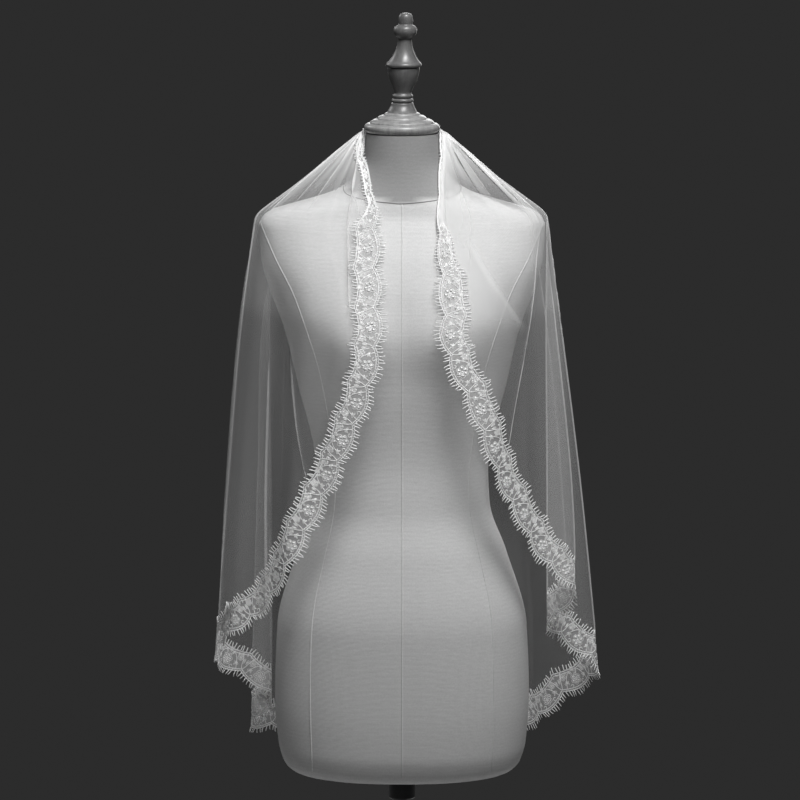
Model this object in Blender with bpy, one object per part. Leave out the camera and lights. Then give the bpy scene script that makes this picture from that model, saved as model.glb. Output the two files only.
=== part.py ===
"""A bridal veil of tulle, edged with scalloped eyelash lace, hung round the neck cap of a dress form on a stand.

Metres, +Z up, the floor at Z 0 and the stand's axis on Z. The front faces -Y, and left means -X.
The veil is one sheet that runs from its left front edge round the back to its right front edge.
It is shaped by fall lines, which run from the neck down to the hem, numbered from the left front edge.
"""

import math

import bmesh
import bpy
import numpy as np

# Cloth
CLOTH_WALL = 0.0010
SEAM_GAP = 0.0004
CLEAR_OF_FORM = 0.0028
PUSH_SOFTNESS = 0.0020
STEEPEST_SLANT = 5.0

# Heights at which the fall lines are laid out
NECK_Z = 1.3405
TIP_Z = 1.2380
BUST_Z = 1.1150
WAIST_Z = 0.9120
HEM_Z = 0.7000
NECK_RING = 0.0458
NECK_FADE = 0.030
TIP_ROUNDING = 0.0110

# Lace
LACE_WIDTH = 0.034
LACE_NECK_WIDTH = 0.010
LACE_WALL = 0.0012
LACE_OPENS_Z = 1.225
SCALLOP = 0.066
SCALLOP_DEPTH = 0.006
FOOT_PITCH = SCALLOP / 2
LACE_PITCH = SCALLOP / 6

# Eyelash fringe
LASH_LENGTH = 0.0070
LASH_WIDTH = 0.0016
LASH_LIFT = 0.4
LASH_STRIP = 0.0012
LASH_THICK = 0.0010
FRINGE_TOP_Z = 1.200

# Dress form and stand
FORM_SEGMENTS = 40
CAP_Z = 1.3353
FINIAL_Z = CAP_Z + 0.0248
FINIAL_LEAN = 0.038
FORM_BOTTOM = 0.560
POLE_RADIUS = 0.011
FLANGE_RADIUS = 0.045
FLANGE_THICK = 0.004
BASE_RADIUS = 0.170
BASE_THICK = 0.008
HUB_RADIUS = 0.022
HUB_TOP = 0.034

# The torso and neck: half width, half depth to the front and to the back, and squareness, bottom to top
FORM_COLUMNS = ("height", "half_width", "front", "back", "squareness")
FORM_SECTIONS = (
    (0.5600, 0.118, 0.080, 0.084, 2.30),
    (0.5640, 0.132, 0.091, 0.096, 2.35),
    (0.5750, 0.143, 0.099, 0.105, 2.40),
    (0.5950, 0.149, 0.104, 0.110, 2.40),
    (0.6500, 0.153, 0.106, 0.114, 2.40),
    (0.7400, 0.150, 0.104, 0.115, 2.30),
    (0.8310, 0.125, 0.094, 0.096, 2.20),
    (0.8890, 0.105, 0.086, 0.076, 2.10),
    (0.9300, 0.103, 0.085, 0.072, 2.10),
    (1.0400, 0.126, 0.096, 0.088, 2.20),
    (1.1150, 0.144, 0.104, 0.098, 2.30),
    (1.1470, 0.157, 0.100, 0.099, 2.40),
    (1.1840, 0.167, 0.088, 0.095, 2.50),
    (1.2260, 0.170, 0.066, 0.083, 2.50),
    (1.2400, 0.162, 0.058, 0.077, 2.45),
    (1.2535, 0.119, 0.055, 0.070, 2.30),
    (1.2660, 0.081, 0.051, 0.062, 2.10),
    (1.2840, 0.057, 0.047, 0.052, 2.00),
    (1.3050, 0.0455, 0.0445, 0.045, 2.00),
    (1.3350, 0.0430, 0.0430, 0.043, 2.00),
)
RINGS_PER_SECTION = 2
BUST_POINT = (0.074, 1.118)
BUST_RISE = 0.021
BUST_SPREAD = (0.050, 0.052)

# Where each fall line runs: its angle round the neck, its plan position at four heights, and where it ends
LINE_COLUMNS = (
    "neck_angle", "tip_x", "tip_y", "bust_x", "bust_y", "waist_x", "waist_y", "hem_x", "hem_y", "end_z",
)
FALL_LINES = (
    (-92, -0.0265, -0.066, -0.0225, -0.121, -0.024, -0.122, -0.024, -0.124, 1.110),
    (-97, -0.062, -0.064, -0.060, -0.119, -0.068, -0.119, -0.075, -0.121, 0.961),
    (-103, -0.096, -0.062, -0.092, -0.112, -0.104, -0.113, -0.112, -0.113, 0.879),
    (-109, -0.128, -0.052, -0.126, -0.094, -0.142, -0.095, -0.152, -0.093, 0.795),
    (-115, -0.155, -0.030, -0.160, -0.062, -0.178, -0.066, -0.188, -0.064, 0.750),
    (-121, -0.168, -0.012, -0.184, -0.032, -0.200, -0.034, -0.212, -0.032, 0.732),
    (-127, -0.1735, 0.006, -0.193, 0.000, -0.211, 0.005, -0.226, 0.008, 0.702),
    (-134, -0.167, 0.026, -0.186, 0.036, -0.203, 0.044, -0.212, 0.050, 0.674),
    (-141, -0.151, 0.046, -0.160, 0.066, -0.160, 0.072, -0.160, 0.074, 0.631),
    (-148, -0.138, 0.060, -0.166, 0.084, -0.175, 0.095, -0.182, 0.099, 0.592),
    (-155, -0.120, 0.072, -0.144, 0.101, -0.151, 0.114, -0.156, 0.122, 0.582),
    (-163, -0.096, 0.080, -0.108, 0.110, -0.109, 0.125, -0.108, 0.135, 0.573),
    (-171, -0.050, 0.087, -0.055, 0.117, -0.055, 0.132, -0.054, 0.145, 0.567),
    (-180, 0.000, 0.087, 0.000, 0.116, 0.000, 0.131, 0.000, 0.144, 0.565),
    (-189, 0.050, 0.087, 0.055, 0.117, 0.055, 0.133, 0.055, 0.147, 0.568),
    (-197, 0.096, 0.080, 0.108, 0.110, 0.109, 0.126, 0.109, 0.137, 0.576),
    (-205, 0.126, 0.066, 0.145, 0.093, 0.152, 0.109, 0.157, 0.118, 0.590),
    (-212, 0.152, 0.043, 0.168, 0.064, 0.187, 0.080, 0.198, 0.086, 0.633),
    (-219, 0.1715, 0.018, 0.188, 0.026, 0.214, 0.038, 0.236, 0.044, 0.672),
    (-226, 0.1725, 0.009, 0.182, 0.014, 0.195, 0.020, 0.204, 0.024, 0.706),
    (-232, 0.1725, 0.001, 0.172, 0.003, 0.174, 0.005, 0.175, 0.006, 0.733),
    (-238, 0.1705, -0.007, 0.177, -0.010, 0.189, -0.014, 0.192, -0.016, 0.755),
    (-244, 0.1680, -0.015, 0.181, -0.022, 0.202, -0.030, 0.210, -0.034, 0.785),
    (-250, 0.1620, -0.024, 0.166, -0.050, 0.172, -0.058, 0.178, -0.060, 0.820),
    (-256, 0.1520, -0.036, 0.148, -0.076, 0.133, -0.084, 0.126, -0.086, 0.896),
    (-261, 0.124, -0.054, 0.118, -0.099, 0.112, -0.101, 0.108, -0.101, 0.949),
    (-266, 0.086, -0.064, 0.082, -0.114, 0.082, -0.115, 0.082, -0.115, 1.012),
    (-272, 0.041, -0.067, 0.043, -0.120, 0.046, -0.121, 0.046, -0.121, 1.110),
)
LAST_LINE = len(FALL_LINES) - 1

# Soft folds along the fall lines: line, half width in lines, then height outwards at five levels
FOLD_COLUMNS = ("line", "half_width", "yoke", "tip", "bust", "waist", "hem")
FOLDS = (
    (1.0, 0.42, 0.0050, 0.0045, 0.0020, 0.0000, 0.0000),
    (1.9, 0.40, 0.0000, 0.0000, -0.0030, -0.0050, -0.0060),
    (2.6, 0.38, 0.0000, 0.0000, 0.0040, 0.0070, 0.0080),
    (3.7, 0.40, 0.0020, 0.0000, -0.0030, -0.0050, -0.0050),
    (4.5, 0.40, 0.0050, 0.0015, 0.0040, 0.0060, 0.0070),
    (5.5, 0.32, -0.0030, 0.0000, -0.0030, -0.0050, -0.0050),
    (7.1, 0.40, 0.0050, 0.0015, 0.0040, 0.0060, 0.0070),
    (10.6, 0.45, -0.0030, 0.0000, -0.0030, -0.0050, -0.0060),
    (11.4, 0.42, 0.0030, 0.0010, 0.0050, 0.0110, 0.0160),
    (12.1, 0.36, -0.0020, 0.0000, -0.0010, -0.0050, -0.0080),
    (12.8, 0.40, 0.0030, 0.0010, 0.0050, 0.0100, 0.0150),
    (13.5, 0.36, -0.0020, 0.0000, -0.0010, -0.0060, -0.0100),
    (14.2, 0.40, 0.0030, 0.0010, 0.0050, 0.0120, 0.0180),
    (15.0, 0.40, -0.0030, 0.0000, -0.0020, -0.0060, -0.0090),
    (15.7, 0.40, 0.0030, 0.0010, 0.0040, 0.0080, 0.0110),
    (17.2, 0.40, 0.0040, 0.0015, 0.0040, 0.0060, 0.0060),
    (23.2, 0.36, 0.0040, 0.0010, -0.0030, -0.0050, -0.0050),
    (25.3, 0.40, 0.0030, 0.0020, 0.0040, 0.0040, 0.0000),
)

# Rows of the cloth's grid: fixed heights over the shoulders, then even steps down to the hem
UPPER_ROWS = (NECK_Z, 1.318, 1.294, 1.271, 1.254, 1.242, 1.232, 1.220, 1.198, 1.166, 1.134)
LOWER_ROWS = 8
FRONT_EDGE_ROWS = (NECK_Z, 1.30, 1.26, 1.22, 1.17, 1.13)
LINE_SPACING = 0.040
CORNER_Z = 1.070
PANEL_SEAMS = (9.5, 17.5)
EDGE_SAMPLES = 900


def monotone(knots, values, at):
    """Smooth curve through (knots, values) that never overshoots, read at `at`."""
    knots = np.asarray(knots, float)
    values = np.asarray(values, float)
    at = np.clip(at, knots[0], knots[-1])
    widths = np.diff(knots)
    slopes = np.diff(values) / widths
    ends = (slopes[:1], slopes[-1:])
    before, after = slopes[:-1], slopes[1:]
    same_way = before * after > 0
    safe = np.where(same_way, before + after, 1.0)
    inner = np.where(same_way, 2 * before * after / safe, 0.0)
    tangents = np.concatenate((ends[0], inner, ends[1]))
    i = np.clip(np.searchsorted(knots, at, side="right") - 1, 0, len(widths) - 1)
    t = (at - knots[i]) / widths[i]
    return (
        values[i] * (2 * t**3 - 3 * t**2 + 1)
        + values[i + 1] * (3 * t**2 - 2 * t**3)
        + widths[i] * (tangents[i] * (t**3 - 2 * t**2 + t) + tangents[i + 1] * (t**3 - t**2))
    )


def form_size(column, z):
    """One of the dress form's measures at height z."""
    heights = [row[0] for row in FORM_SECTIONS]
    return monotone(heights, [row[FORM_COLUMNS.index(column)] for row in FORM_SECTIONS], z)


def bust_rise(x, z):
    """How far the front of the form swells at the bust."""
    across = (np.abs(x) - BUST_POINT[0]) / BUST_SPREAD[0]
    up = (z - BUST_POINT[1]) / BUST_SPREAD[1]
    return BUST_RISE * np.exp(-(across**2) - up**2)


def form_ring(z, segments):
    """Points of the form's outline at height z, anticlockwise seen from above."""
    turn = np.arange(segments) * 2 * math.pi / segments
    c, s = np.cos(turn), np.sin(turn)
    power = 2 / form_size("squareness", z)
    x = form_size("half_width", z) * np.sign(c) * np.abs(c) ** power
    depth = np.where(s > 0, form_size("back", z), form_size("front", z) + bust_rise(x, z))
    return np.stack((x, depth * np.sign(s) * np.abs(s) ** power, np.full(segments, z)), axis=1)


def form_radius(x, y, z):
    """Distance from the axis to the form's surface, in the direction of (x, y), at height z."""
    n = form_size("squareness", z)
    half_depth = np.where(y > 0, form_size("back", z), form_size("front", z) + bust_rise(x, z))
    level = (np.abs(x) / form_size("half_width", z)) ** n + (np.abs(y) / half_depth) ** n
    return np.hypot(x, y) * np.maximum(level, 1e-9) ** (-1 / n)


def below_neck(z):
    """0 at the neck ring, rising to 1 a little way below it."""
    return np.clip((NECK_Z - z) / NECK_FADE, 0.0, 1.0)


def pushed_clear(x, y, z):
    """Moves plan points outwards until the cloth lies clear of the form."""
    surface = form_radius(x, y, z)
    step = 0.003
    lean = (form_radius(x, y, z - step) - form_radius(x, y, z + step)) / (2 * step)
    slant = np.minimum(np.hypot(1.0, lean), STEEPEST_SLANT)
    wanted = surface + CLEAR_OF_FORM * below_neck(z) * slant
    softness = PUSH_SOFTNESS * below_neck(z) + 1e-6
    radius = np.maximum(np.hypot(x, y), 1e-6)
    moved = 0.5 * (radius + wanted + np.hypot(radius - wanted, softness))
    moved = np.where(z > CAP_Z, radius, moved)
    return x * moved / radius, y * moved / radius


def lines_at(index, z):
    """Plan position of the numbered fall lines at heights z."""
    table = np.array(FALL_LINES)
    angle = np.radians(table[:, LINE_COLUMNS.index("neck_angle")])
    neck = np.stack((NECK_RING * np.sin(angle), -NECK_RING * np.cos(angle)), axis=1)
    first = [LINE_COLUMNS.index(level + "_x") for level in ("hem", "waist", "bust", "tip")]
    levels = np.stack([table[:, k : k + 2] for k in first], axis=1)
    heights = np.array((HEM_Z, WAIST_Z, BUST_Z, TIP_Z))
    spans = np.diff(heights)
    slopes = np.diff(levels, axis=1) / spans[None, :, None]
    tangents = np.concatenate(
        (slopes[:, :1], 0.5 * (slopes[:, :-1] + slopes[:, 1:]), slopes[:, -1:]), axis=1
    )
    total = 0.0
    shifts = (-1.0, -0.5, 0.0, 0.5, 1.0)
    for shift in shifts:
        level = z + shift * TIP_ROUNDING * below_neck(z)
        k = np.clip(np.searchsorted(heights, level) - 1, 0, len(spans) - 1)
        t = ((np.clip(level, HEM_Z, TIP_Z) - heights[k]) / spans[k])[..., None]
        width = spans[k][..., None]
        below = (
            levels[index, k] * (2 * t**3 - 3 * t**2 + 1)
            + levels[index, k + 1] * (3 * t**2 - 2 * t**3)
            + width * tangents[index, k] * (t**3 - 2 * t**2 + t)
            + width * tangents[index, k + 1] * (t**3 - t**2)
        )
        past_hem = np.minimum(level - HEM_Z, 0.0)[..., None]
        below = below + tangents[index, 0] * past_hem
        up = np.clip((level - TIP_Z) / (NECK_Z - TIP_Z), 0.0, 1.0)[..., None]
        total = total + below * (1 - up) + neck[index] * up
    return total / len(shifts)


def sheet_plan(line, z):
    """Plan position on the sheet between fall lines, before its soft folds."""
    line = np.clip(line, 0.0, LAST_LINE)
    i = np.clip(np.floor(line).astype(int), 0, LAST_LINE - 1)
    t = (line - i)[..., None]
    corners = [lines_at(np.clip(i + k, 0, LAST_LINE), z) for k in (-1, 0, 1, 2)]
    a, b, c, d = corners
    return 0.5 * (
        2 * b + (c - a) * t + (2 * a - 5 * b + 4 * c - d) * t**2 + (3 * b - a - 3 * c + d) * t**3
    )


def fold_height(line, z):
    """How far the soft folds stand out from the sheet."""
    levels = (HEM_Z, WAIST_Z, BUST_Z, TIP_Z, 0.5 * (TIP_Z + NECK_Z), NECK_Z)
    total = np.zeros(np.broadcast(line, z).shape)
    for row in FOLDS:
        fold = dict(zip(FOLD_COLUMNS, row))
        heights = [fold[k] for k in ("hem", "waist", "bust", "tip", "yoke")] + [0.0]
        total = total + monotone(levels, heights, z) * np.exp(-(((line - fold["line"]) / fold["half_width"]) ** 2))
    return total


def sheet(line, z):
    """Points on the inside face of the veil at fall-line number `line` and height z."""
    line, z = np.broadcast_arrays(np.asarray(line, float), np.asarray(z, float))
    here = sheet_plan(line, z)
    step = 0.02
    along = sheet_plan(line + step, z) - sheet_plan(line - step, z)
    along = along / np.maximum(np.linalg.norm(along, axis=-1, keepdims=True), 1e-9)
    height = fold_height(line, z)
    x = here[..., 0] - along[..., 1] * height
    y = here[..., 1] + along[..., 0] * height
    x, y = pushed_clear(x, y, z)
    return np.stack((x, y, z), axis=-1)


def sheet_slopes(line, z):
    """Change of the sheet's points along the line number and along the height."""
    step_line, step_z = 0.01, 0.001
    by_line = (sheet(line + step_line, z) - sheet(line - step_line, z)) / (2 * step_line)
    at_ends = np.where((line <= step_line) | (line >= LAST_LINE - step_line), 2.0, 1.0)
    by_z = (sheet(line, z + step_z) - sheet(line, z - step_z)) / (2 * step_z)
    return by_line * at_ends[..., None], by_z


def unit(v):
    return v / np.maximum(np.linalg.norm(v, axis=-1, keepdims=True), 1e-12)


def outwards(line, z):
    """Unit normal on the sheet's outer face."""
    by_line, by_z = sheet_slopes(line, z)
    return unit(np.cross(by_z, by_line))


def rounded_path(points, samples):
    """Centripetal curve through points, as `samples` points."""
    p = np.array(points, float)
    p = np.vstack((2 * p[0] - p[1], p, 2 * p[-1] - p[-2]))
    gaps = np.maximum(np.linalg.norm(np.diff(p, axis=0), axis=1), 1e-9) ** 0.5
    at = np.concatenate(([0.0], np.cumsum(gaps)))
    u = np.linspace(at[1], at[-2] - 1e-9, samples)
    k = np.clip(np.searchsorted(at, u, side="right") - 1, 1, len(at) - 3)

    def mix(q0, q1, t0, t1):
        share = ((u - t0) / (t1 - t0))[:, None]
        return q0 * (1 - share) + q1 * share

    q = [p[k + j] for j in (-1, 0, 1, 2)]
    t = [at[k + j] for j in (-1, 0, 1, 2)]
    a1, a2, a3 = mix(q[0], q[1], t[0], t[1]), mix(q[1], q[2], t[1], t[2]), mix(q[2], q[3], t[2], t[3])
    b1, b2 = mix(a1, a2, t[0], t[2]), mix(a2, a3, t[1], t[3])
    return mix(b1, b2, t[1], t[2])


def edge_curve():
    """The cut edge of the veil, from the neck down the left front, along the hem and up the right front.

    Returns line number, height, distance run and unit direction, at close steps."""
    ends = [row[LINE_COLUMNS.index("end_z")] for row in FALL_LINES]
    left = [(0.0, z) for z in FRONT_EDGE_ROWS]
    right = [(LAST_LINE * LINE_SPACING, z) for _, z in reversed(left)]
    hem = [(i * LINE_SPACING, z) for i, z in enumerate(ends)]
    path = rounded_path(left + hem + right, EDGE_SAMPLES)
    line = np.clip(path[:, 0] / LINE_SPACING, 0.0, LAST_LINE)
    z = np.minimum(path[:, 1], NECK_Z)
    points = sheet(line, z)
    run = np.concatenate(([0.0], np.cumsum(np.linalg.norm(np.diff(points, axis=0), axis=1))))
    return line, z, run, unit(np.gradient(points, axis=0))


def inwards(line, z, along, distances):
    """Walks from edge points across the sheet, square to the edge. Returns line and height at each distance."""
    step = 0.003
    lines, heights = [], []
    heading = None
    walked = 0.0
    line, z = line.copy(), z.copy()
    for target in distances:
        while walked < target - 1e-9:
            stride = min(step, target - walked)
            by_line, by_z = sheet_slopes(line, z)
            normal = unit(np.cross(by_z, by_line))
            if heading is None:
                heading = unit(np.cross(along, normal))
            heading = unit(heading - normal * np.sum(heading * normal, axis=-1, keepdims=True))
            g11 = np.sum(by_line * by_line, axis=-1)
            g12 = np.sum(by_line * by_z, axis=-1)
            g22 = np.sum(by_z * by_z, axis=-1)
            h1 = np.sum(heading * by_line, axis=-1)
            h2 = np.sum(heading * by_z, axis=-1)
            area = np.maximum(g11 * g22 - g12 * g12, 1e-12)
            line = np.clip(line + stride * (h1 * g22 - h2 * g12) / area, 0.0, LAST_LINE)
            z = np.minimum(z + stride * (h2 * g11 - h1 * g12) / area, NECK_Z)
            walked += stride
        lines.append(line.copy())
        heights.append(z.copy())
    return lines, heights


def add_object(name, points, faces, material):
    """A mesh object with its faces pointing out."""
    mesh = bpy.data.meshes.new(name)
    mesh.from_pydata([tuple(p) for p in points], [], faces)
    work = bmesh.new()
    work.from_mesh(mesh)
    bmesh.ops.recalc_face_normals(work, faces=work.faces)
    work.to_mesh(mesh)
    work.free()
    mesh.materials.append(material)
    made = bpy.data.objects.new(name, mesh)
    bpy.context.scene.collection.objects.link(made)
    return made


def finish(name, colour, roughness, metallic=0.0, alpha=1.0):
    """A material with the part's colour, roughness and metallic value."""
    made = bpy.data.materials.new(name)
    made.use_nodes = True
    shader = made.node_tree.nodes["Principled BSDF"]
    shader.inputs["Base Color"].default_value = (*colour, 1.0)
    shader.inputs["Roughness"].default_value = roughness
    shader.inputs["Metallic"].default_value = metallic
    shader.inputs["Alpha"].default_value = alpha
    made.diffuse_color = (*colour, alpha)
    return made


def wall(name, inner, outer, material):
    """A closed wall between two grids of points of the same shape, both split along the same diagonals."""
    rows, columns = inner.shape[:2]
    points = np.concatenate((inner.reshape(-1, 3), outer.reshape(-1, 3)))
    back = rows * columns

    def at(r, c):
        return r * columns + c

    faces = []
    for r in range(rows - 1):
        for c in range(columns - 1):
            near, far = inner[r, c] - inner[r + 1, c + 1], inner[r, c + 1] - inner[r + 1, c]
            quad = [at(r, c), at(r, c + 1), at(r + 1, c + 1), at(r + 1, c)]
            if near @ near > far @ far:
                quad = quad[1:] + quad[:1]
            for triangle in (quad[:3], [quad[0], quad[2], quad[3]]):
                faces.append(tuple(triangle))
                faces.append(tuple(back + k for k in reversed(triangle)))
    rim = [at(0, c) for c in range(columns)]
    rim += [at(r, columns - 1) for r in range(1, rows)]
    rim += [at(rows - 1, c) for c in range(columns - 2, -1, -1)]
    rim += [at(r, 0) for r in range(rows - 2, 0, -1)]
    for k, here in enumerate(rim):
        after = rim[(k + 1) % len(rim)]
        faces.append((here, back + here, back + after, after))
    return add_object(name, points, faces, material)


def turned(name, profile, segments, material, lean=0.0):
    """A solid turned about Z from (radius, height) points, bottom to top, leaning towards +X by `lean`."""
    foot = profile[0][1]
    points, rings = [], []
    for radius, height in profile:
        x0 = lean * (height - foot)
        turn = np.arange(segments) * 2 * math.pi / segments
        rings.append(range(len(points), len(points) + segments))
        points += [(x0 + radius * math.cos(t), radius * math.sin(t), height) for t in turn]
    faces = [tuple(reversed(rings[0])), tuple(rings[-1])]
    for low, high in zip(rings, rings[1:]):
        for k in range(segments):
            n = (k + 1) % segments
            faces.append((low[k], low[n], high[n], high[k]))
    made = add_object(name, points, faces, material)
    made.data.shade_smooth()
    return made


def front_width(z):
    """Width of the lace, which is folded narrow near the neck and opens over the chest."""
    share = np.clip((NECK_Z - z) / (NECK_Z - LACE_OPENS_Z), 0.0, 1.0)
    return LACE_NECK_WIDTH + (LACE_WIDTH - LACE_NECK_WIDTH) * share**2 * (3 - 2 * share)


def walked(edge, place, widths):
    """Line number and height reached from the edge at fractional sample numbers, walking in by `widths`."""
    line, z, run, along = edge
    samples = np.arange(len(line))
    at_line, at_z = np.interp(place, samples, line), np.interp(place, samples, z)
    heading = unit(np.stack([np.interp(place, samples, part) for part in along.T], axis=1))
    steps = np.linspace(0.002, LACE_WIDTH, 12)
    lines, heights = inwards(at_line, at_z, heading, steps)
    lines, heights = np.vstack((at_line[None], lines)), np.vstack((at_z[None], heights))
    reach = np.concatenate(([0.0], steps))
    k = np.clip(np.searchsorted(reach, widths) - 1, 0, len(steps) - 1)
    share = (widths - reach[k]) / (reach[k + 1] - reach[k])
    each = np.arange(len(at_line))
    return (
        lines[k, each] * (1 - share) + lines[k + 1, each] * share,
        heights[k, each] * (1 - share) + heights[k + 1, each] * share,
    )


def tulle(edge, material):
    """The veil's tulle panel, in three stretches: left front and side, back, right front and side.

    Returns the cut line along which each stretch meets its lace, as sample numbers, inside and outside points."""
    line, z, run, along = edge
    samples = np.arange(len(line), dtype=float)
    cut_line, cut_z = walked(edge, samples, front_width(z))
    half = len(samples) // 2
    left_corner = np.interp(-CORNER_Z, -cut_z[:half], samples[:half])
    right_corner = np.interp(CORNER_Z, cut_z[half:], samples[half:])
    start, end = (np.interp(k, samples, run) for k in (left_corner, right_corner))
    whole = np.arange(math.ceil(start / FOOT_PITCH + 0.4), math.floor(end / FOOT_PITCH - 0.4) + 1)
    feet = np.concatenate(([left_corner], np.interp(whole * FOOT_PITCH, run, samples), [right_corner]))
    foot_line, foot_z = np.interp(feet, samples, cut_line), np.interp(feet, samples, cut_z)
    foot_line = np.maximum.accumulate(foot_line)
    share = ((foot_line - foot_line[0]) / (foot_line[-1] - foot_line[0]))[:, None]
    upper = np.array(UPPER_ROWS)
    fall = np.arange(1, LOWER_ROWS + 1) / LOWER_ROWS
    heights = np.concatenate(
        (np.repeat(upper[None], len(feet), axis=0), upper[-1] + (foot_z[:, None] - upper[-1]) * fall), axis=1
    )
    left = np.interp(-np.maximum(heights, CORNER_Z), -cut_z[:half], cut_line[:half])
    right = np.interp(np.maximum(heights, CORNER_Z), cut_z[half:], cut_line[half:])
    lines = left * (1 - share) + right * share
    inner = sheet(lines, heights)
    outer = inner + CLOTH_WALL * outwards(lines, heights)

    seams = [int(np.argmin(np.abs(foot_line - seam))) for seam in PANEL_SEAMS]
    limits = (0, *seams, len(feet) - 1)
    cuts = []
    for k, name in enumerate(("tulle_left", "tulle_back", "tulle_right")):
        part = slice(limits[k], limits[k + 1] + 1)
        in_part, out_part = inner[part].copy(), outer[part].copy()
        if k:
            shift = unit(in_part[1] - in_part[0]) * SEAM_GAP
            in_part[0] += shift
            out_part[0] += shift
        wall(name, in_part, out_part, material)
        place, inside, outside = feet[part], in_part[:, -1], out_part[:, -1]
        if k == 0:
            down = np.interp(-heights[0, :-1], -cut_z[:half], samples[:half])
            place = np.concatenate((down, place))
            inside = np.concatenate((in_part[0, :-1], inside))
            outside = np.concatenate((out_part[0, :-1], outside))
        if k == 2:
            up = np.interp(heights[-1, -2::-1], cut_z[half:], samples[half:])
            place = np.concatenate((place, up))
            inside = np.concatenate((inside, in_part[-1, -2::-1]))
            outside = np.concatenate((outside, out_part[-1, -2::-1]))
        cuts.append((place, inside, outside))
    return cuts


def scallop(run):
    """How far the lace's outer edge is drawn in at this distance along it."""
    return SCALLOP_DEPTH * (1 - np.abs(np.sin(math.pi * run / SCALLOP)) ** 0.8)


def lace_and_fringe(edge, cuts, material):
    """The scalloped lace edging, which meets the tulle edge to edge, and the eyelash fringe beyond it."""
    line, z, run, along = edge
    samples = np.arange(len(line))
    for name, (place, inside, outside) in zip(("left", "hem", "right"), cuts):
        where, low, high = [], [], []
        for k in range(len(place) - 1):
            length = np.linalg.norm(inside[k + 1] - inside[k])
            parts = max(1, round(length / LACE_PITCH))
            for j in range(parts):
                share = j / parts
                where.append(place[k] * (1 - share) + place[k + 1] * share)
                low.append(inside[k] * (1 - share) + inside[k + 1] * share)
                high.append(outside[k] * (1 - share) + outside[k + 1] * share)
        where, low, high = np.array(where + [place[-1]]), np.array(low + [inside[-1]]), np.array(high + [outside[-1]])
        width = front_width(np.interp(where, samples, z))
        drawn = scallop(np.interp(where, samples, run)) * width / LACE_WIDTH
        rows = []
        for share in (0.5, 0.0):
            at_line, at_z = walked(edge, where, drawn * (1 - share) + width * share)
            base, normal = sheet(at_line, at_z), outwards(at_line, at_z)
            rows.append((base + normal * CLOTH_WALL / 2, normal))
        middle = 0.5 * (low + high)
        normal = unit(high - low)
        away = unit(rows[0][0] - middle)
        rows.insert(0, (middle + away * SEAM_GAP, normal))
        if name != "left":
            for k, (points, normals) in enumerate(rows[1:], start=1):
                points[0] += unit(points[1] - points[0]) * SEAM_GAP
        centre = np.array([points for points, normals in rows])
        lift = np.array([normals for points, normals in rows]) * LACE_WALL / 2
        wall("lace_" + name, centre - lift, centre + lift, material)
        comb("fringe_" + name, centre[-1], unit(centre[-1] - centre[-2]), rows[-1][1], material)


def comb(name, base, away, normal, material):
    """A three-sided strip along the lace's outer edge, with a lash fused into it at each station."""
    chosen = [k for k in range(len(base) - 1) if max(base[k][2], base[k + 1][2]) < FRINGE_TOP_Z]
    base, away, normal = (part[chosen[0] : chosen[-1] + 2] for part in (base, away, normal))
    shares, count = [], len(base)
    for k in range(count - 1):
        length = np.linalg.norm(base[k + 1] - base[k])
        shares += [(k, 0.0), (k, min(0.5, LASH_WIDTH / length))]
    shares.append((count - 2, 1.0))
    shares[0] = (0, SEAM_GAP / np.linalg.norm(base[1] - base[0]))
    shares[-1] = (count - 2, 1 - SEAM_GAP / np.linalg.norm(base[-1] - base[-2]))

    def along(part):
        return np.array([part[k] * (1 - t) + part[k + 1] * t for k, t in shares])

    away, normal = unit(along(away)), unit(along(normal))
    root = along(base) + away * SEAM_GAP
    top = root + away * LASH_STRIP + normal * LASH_THICK / 2
    under = root + away * LASH_STRIP - normal * LASH_THICK / 2
    count = len(root)
    points = list(root) + list(top) + list(under)
    faces = []
    for k in range(count - 1):
        r, t, u = k, count + k, 2 * count + k
        faces.append((r, r + 1, t + 1, t))
        faces.append((r, u, u + 1, r + 1))
        if k % 2 == 0:
            tip = 0.25 * (top[k] + top[k + 1] + under[k] + under[k + 1])
            points.append(tip + unit(away[k] + away[k + 1] + LASH_LIFT * normal[k]) * LASH_LENGTH)
            corners = (t, t + 1, u + 1, u)
            faces += [(corners[j], corners[(j + 1) % 4], len(points) - 1) for j in range(4)]
        else:
            faces.append((t, t + 1, u + 1, u))
    faces.append((0, count, 2 * count))
    faces.append((count - 1, 3 * count - 1, 2 * count - 1))
    add_object(name, points, faces, material)


def form_body(material):
    """The covered torso and neck, one smooth closed shell."""
    heights = []
    rows = [row[0] for row in FORM_SECTIONS]
    for low, high in zip(rows, rows[1:]):
        steps = RINGS_PER_SECTION if high - low > 0.025 else 1
        heights += [low + (high - low) * k / steps for k in range(steps)]
    heights.append(rows[-1])
    points = np.concatenate([form_ring(h, FORM_SEGMENTS) for h in heights])
    faces = [tuple(reversed(range(FORM_SEGMENTS)))]
    top = (len(heights) - 1) * FORM_SEGMENTS
    faces.append(tuple(range(top, top + FORM_SEGMENTS)))
    for r in range(len(heights) - 1):
        for k in range(FORM_SEGMENTS):
            n = (k + 1) % FORM_SEGMENTS
            low, high = r * FORM_SEGMENTS, (r + 1) * FORM_SEGMENTS
            faces.append((low + k, low + n, high + n, high + k))
    made = add_object("form_body", points, faces, material)
    made.data.shade_smooth()


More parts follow.
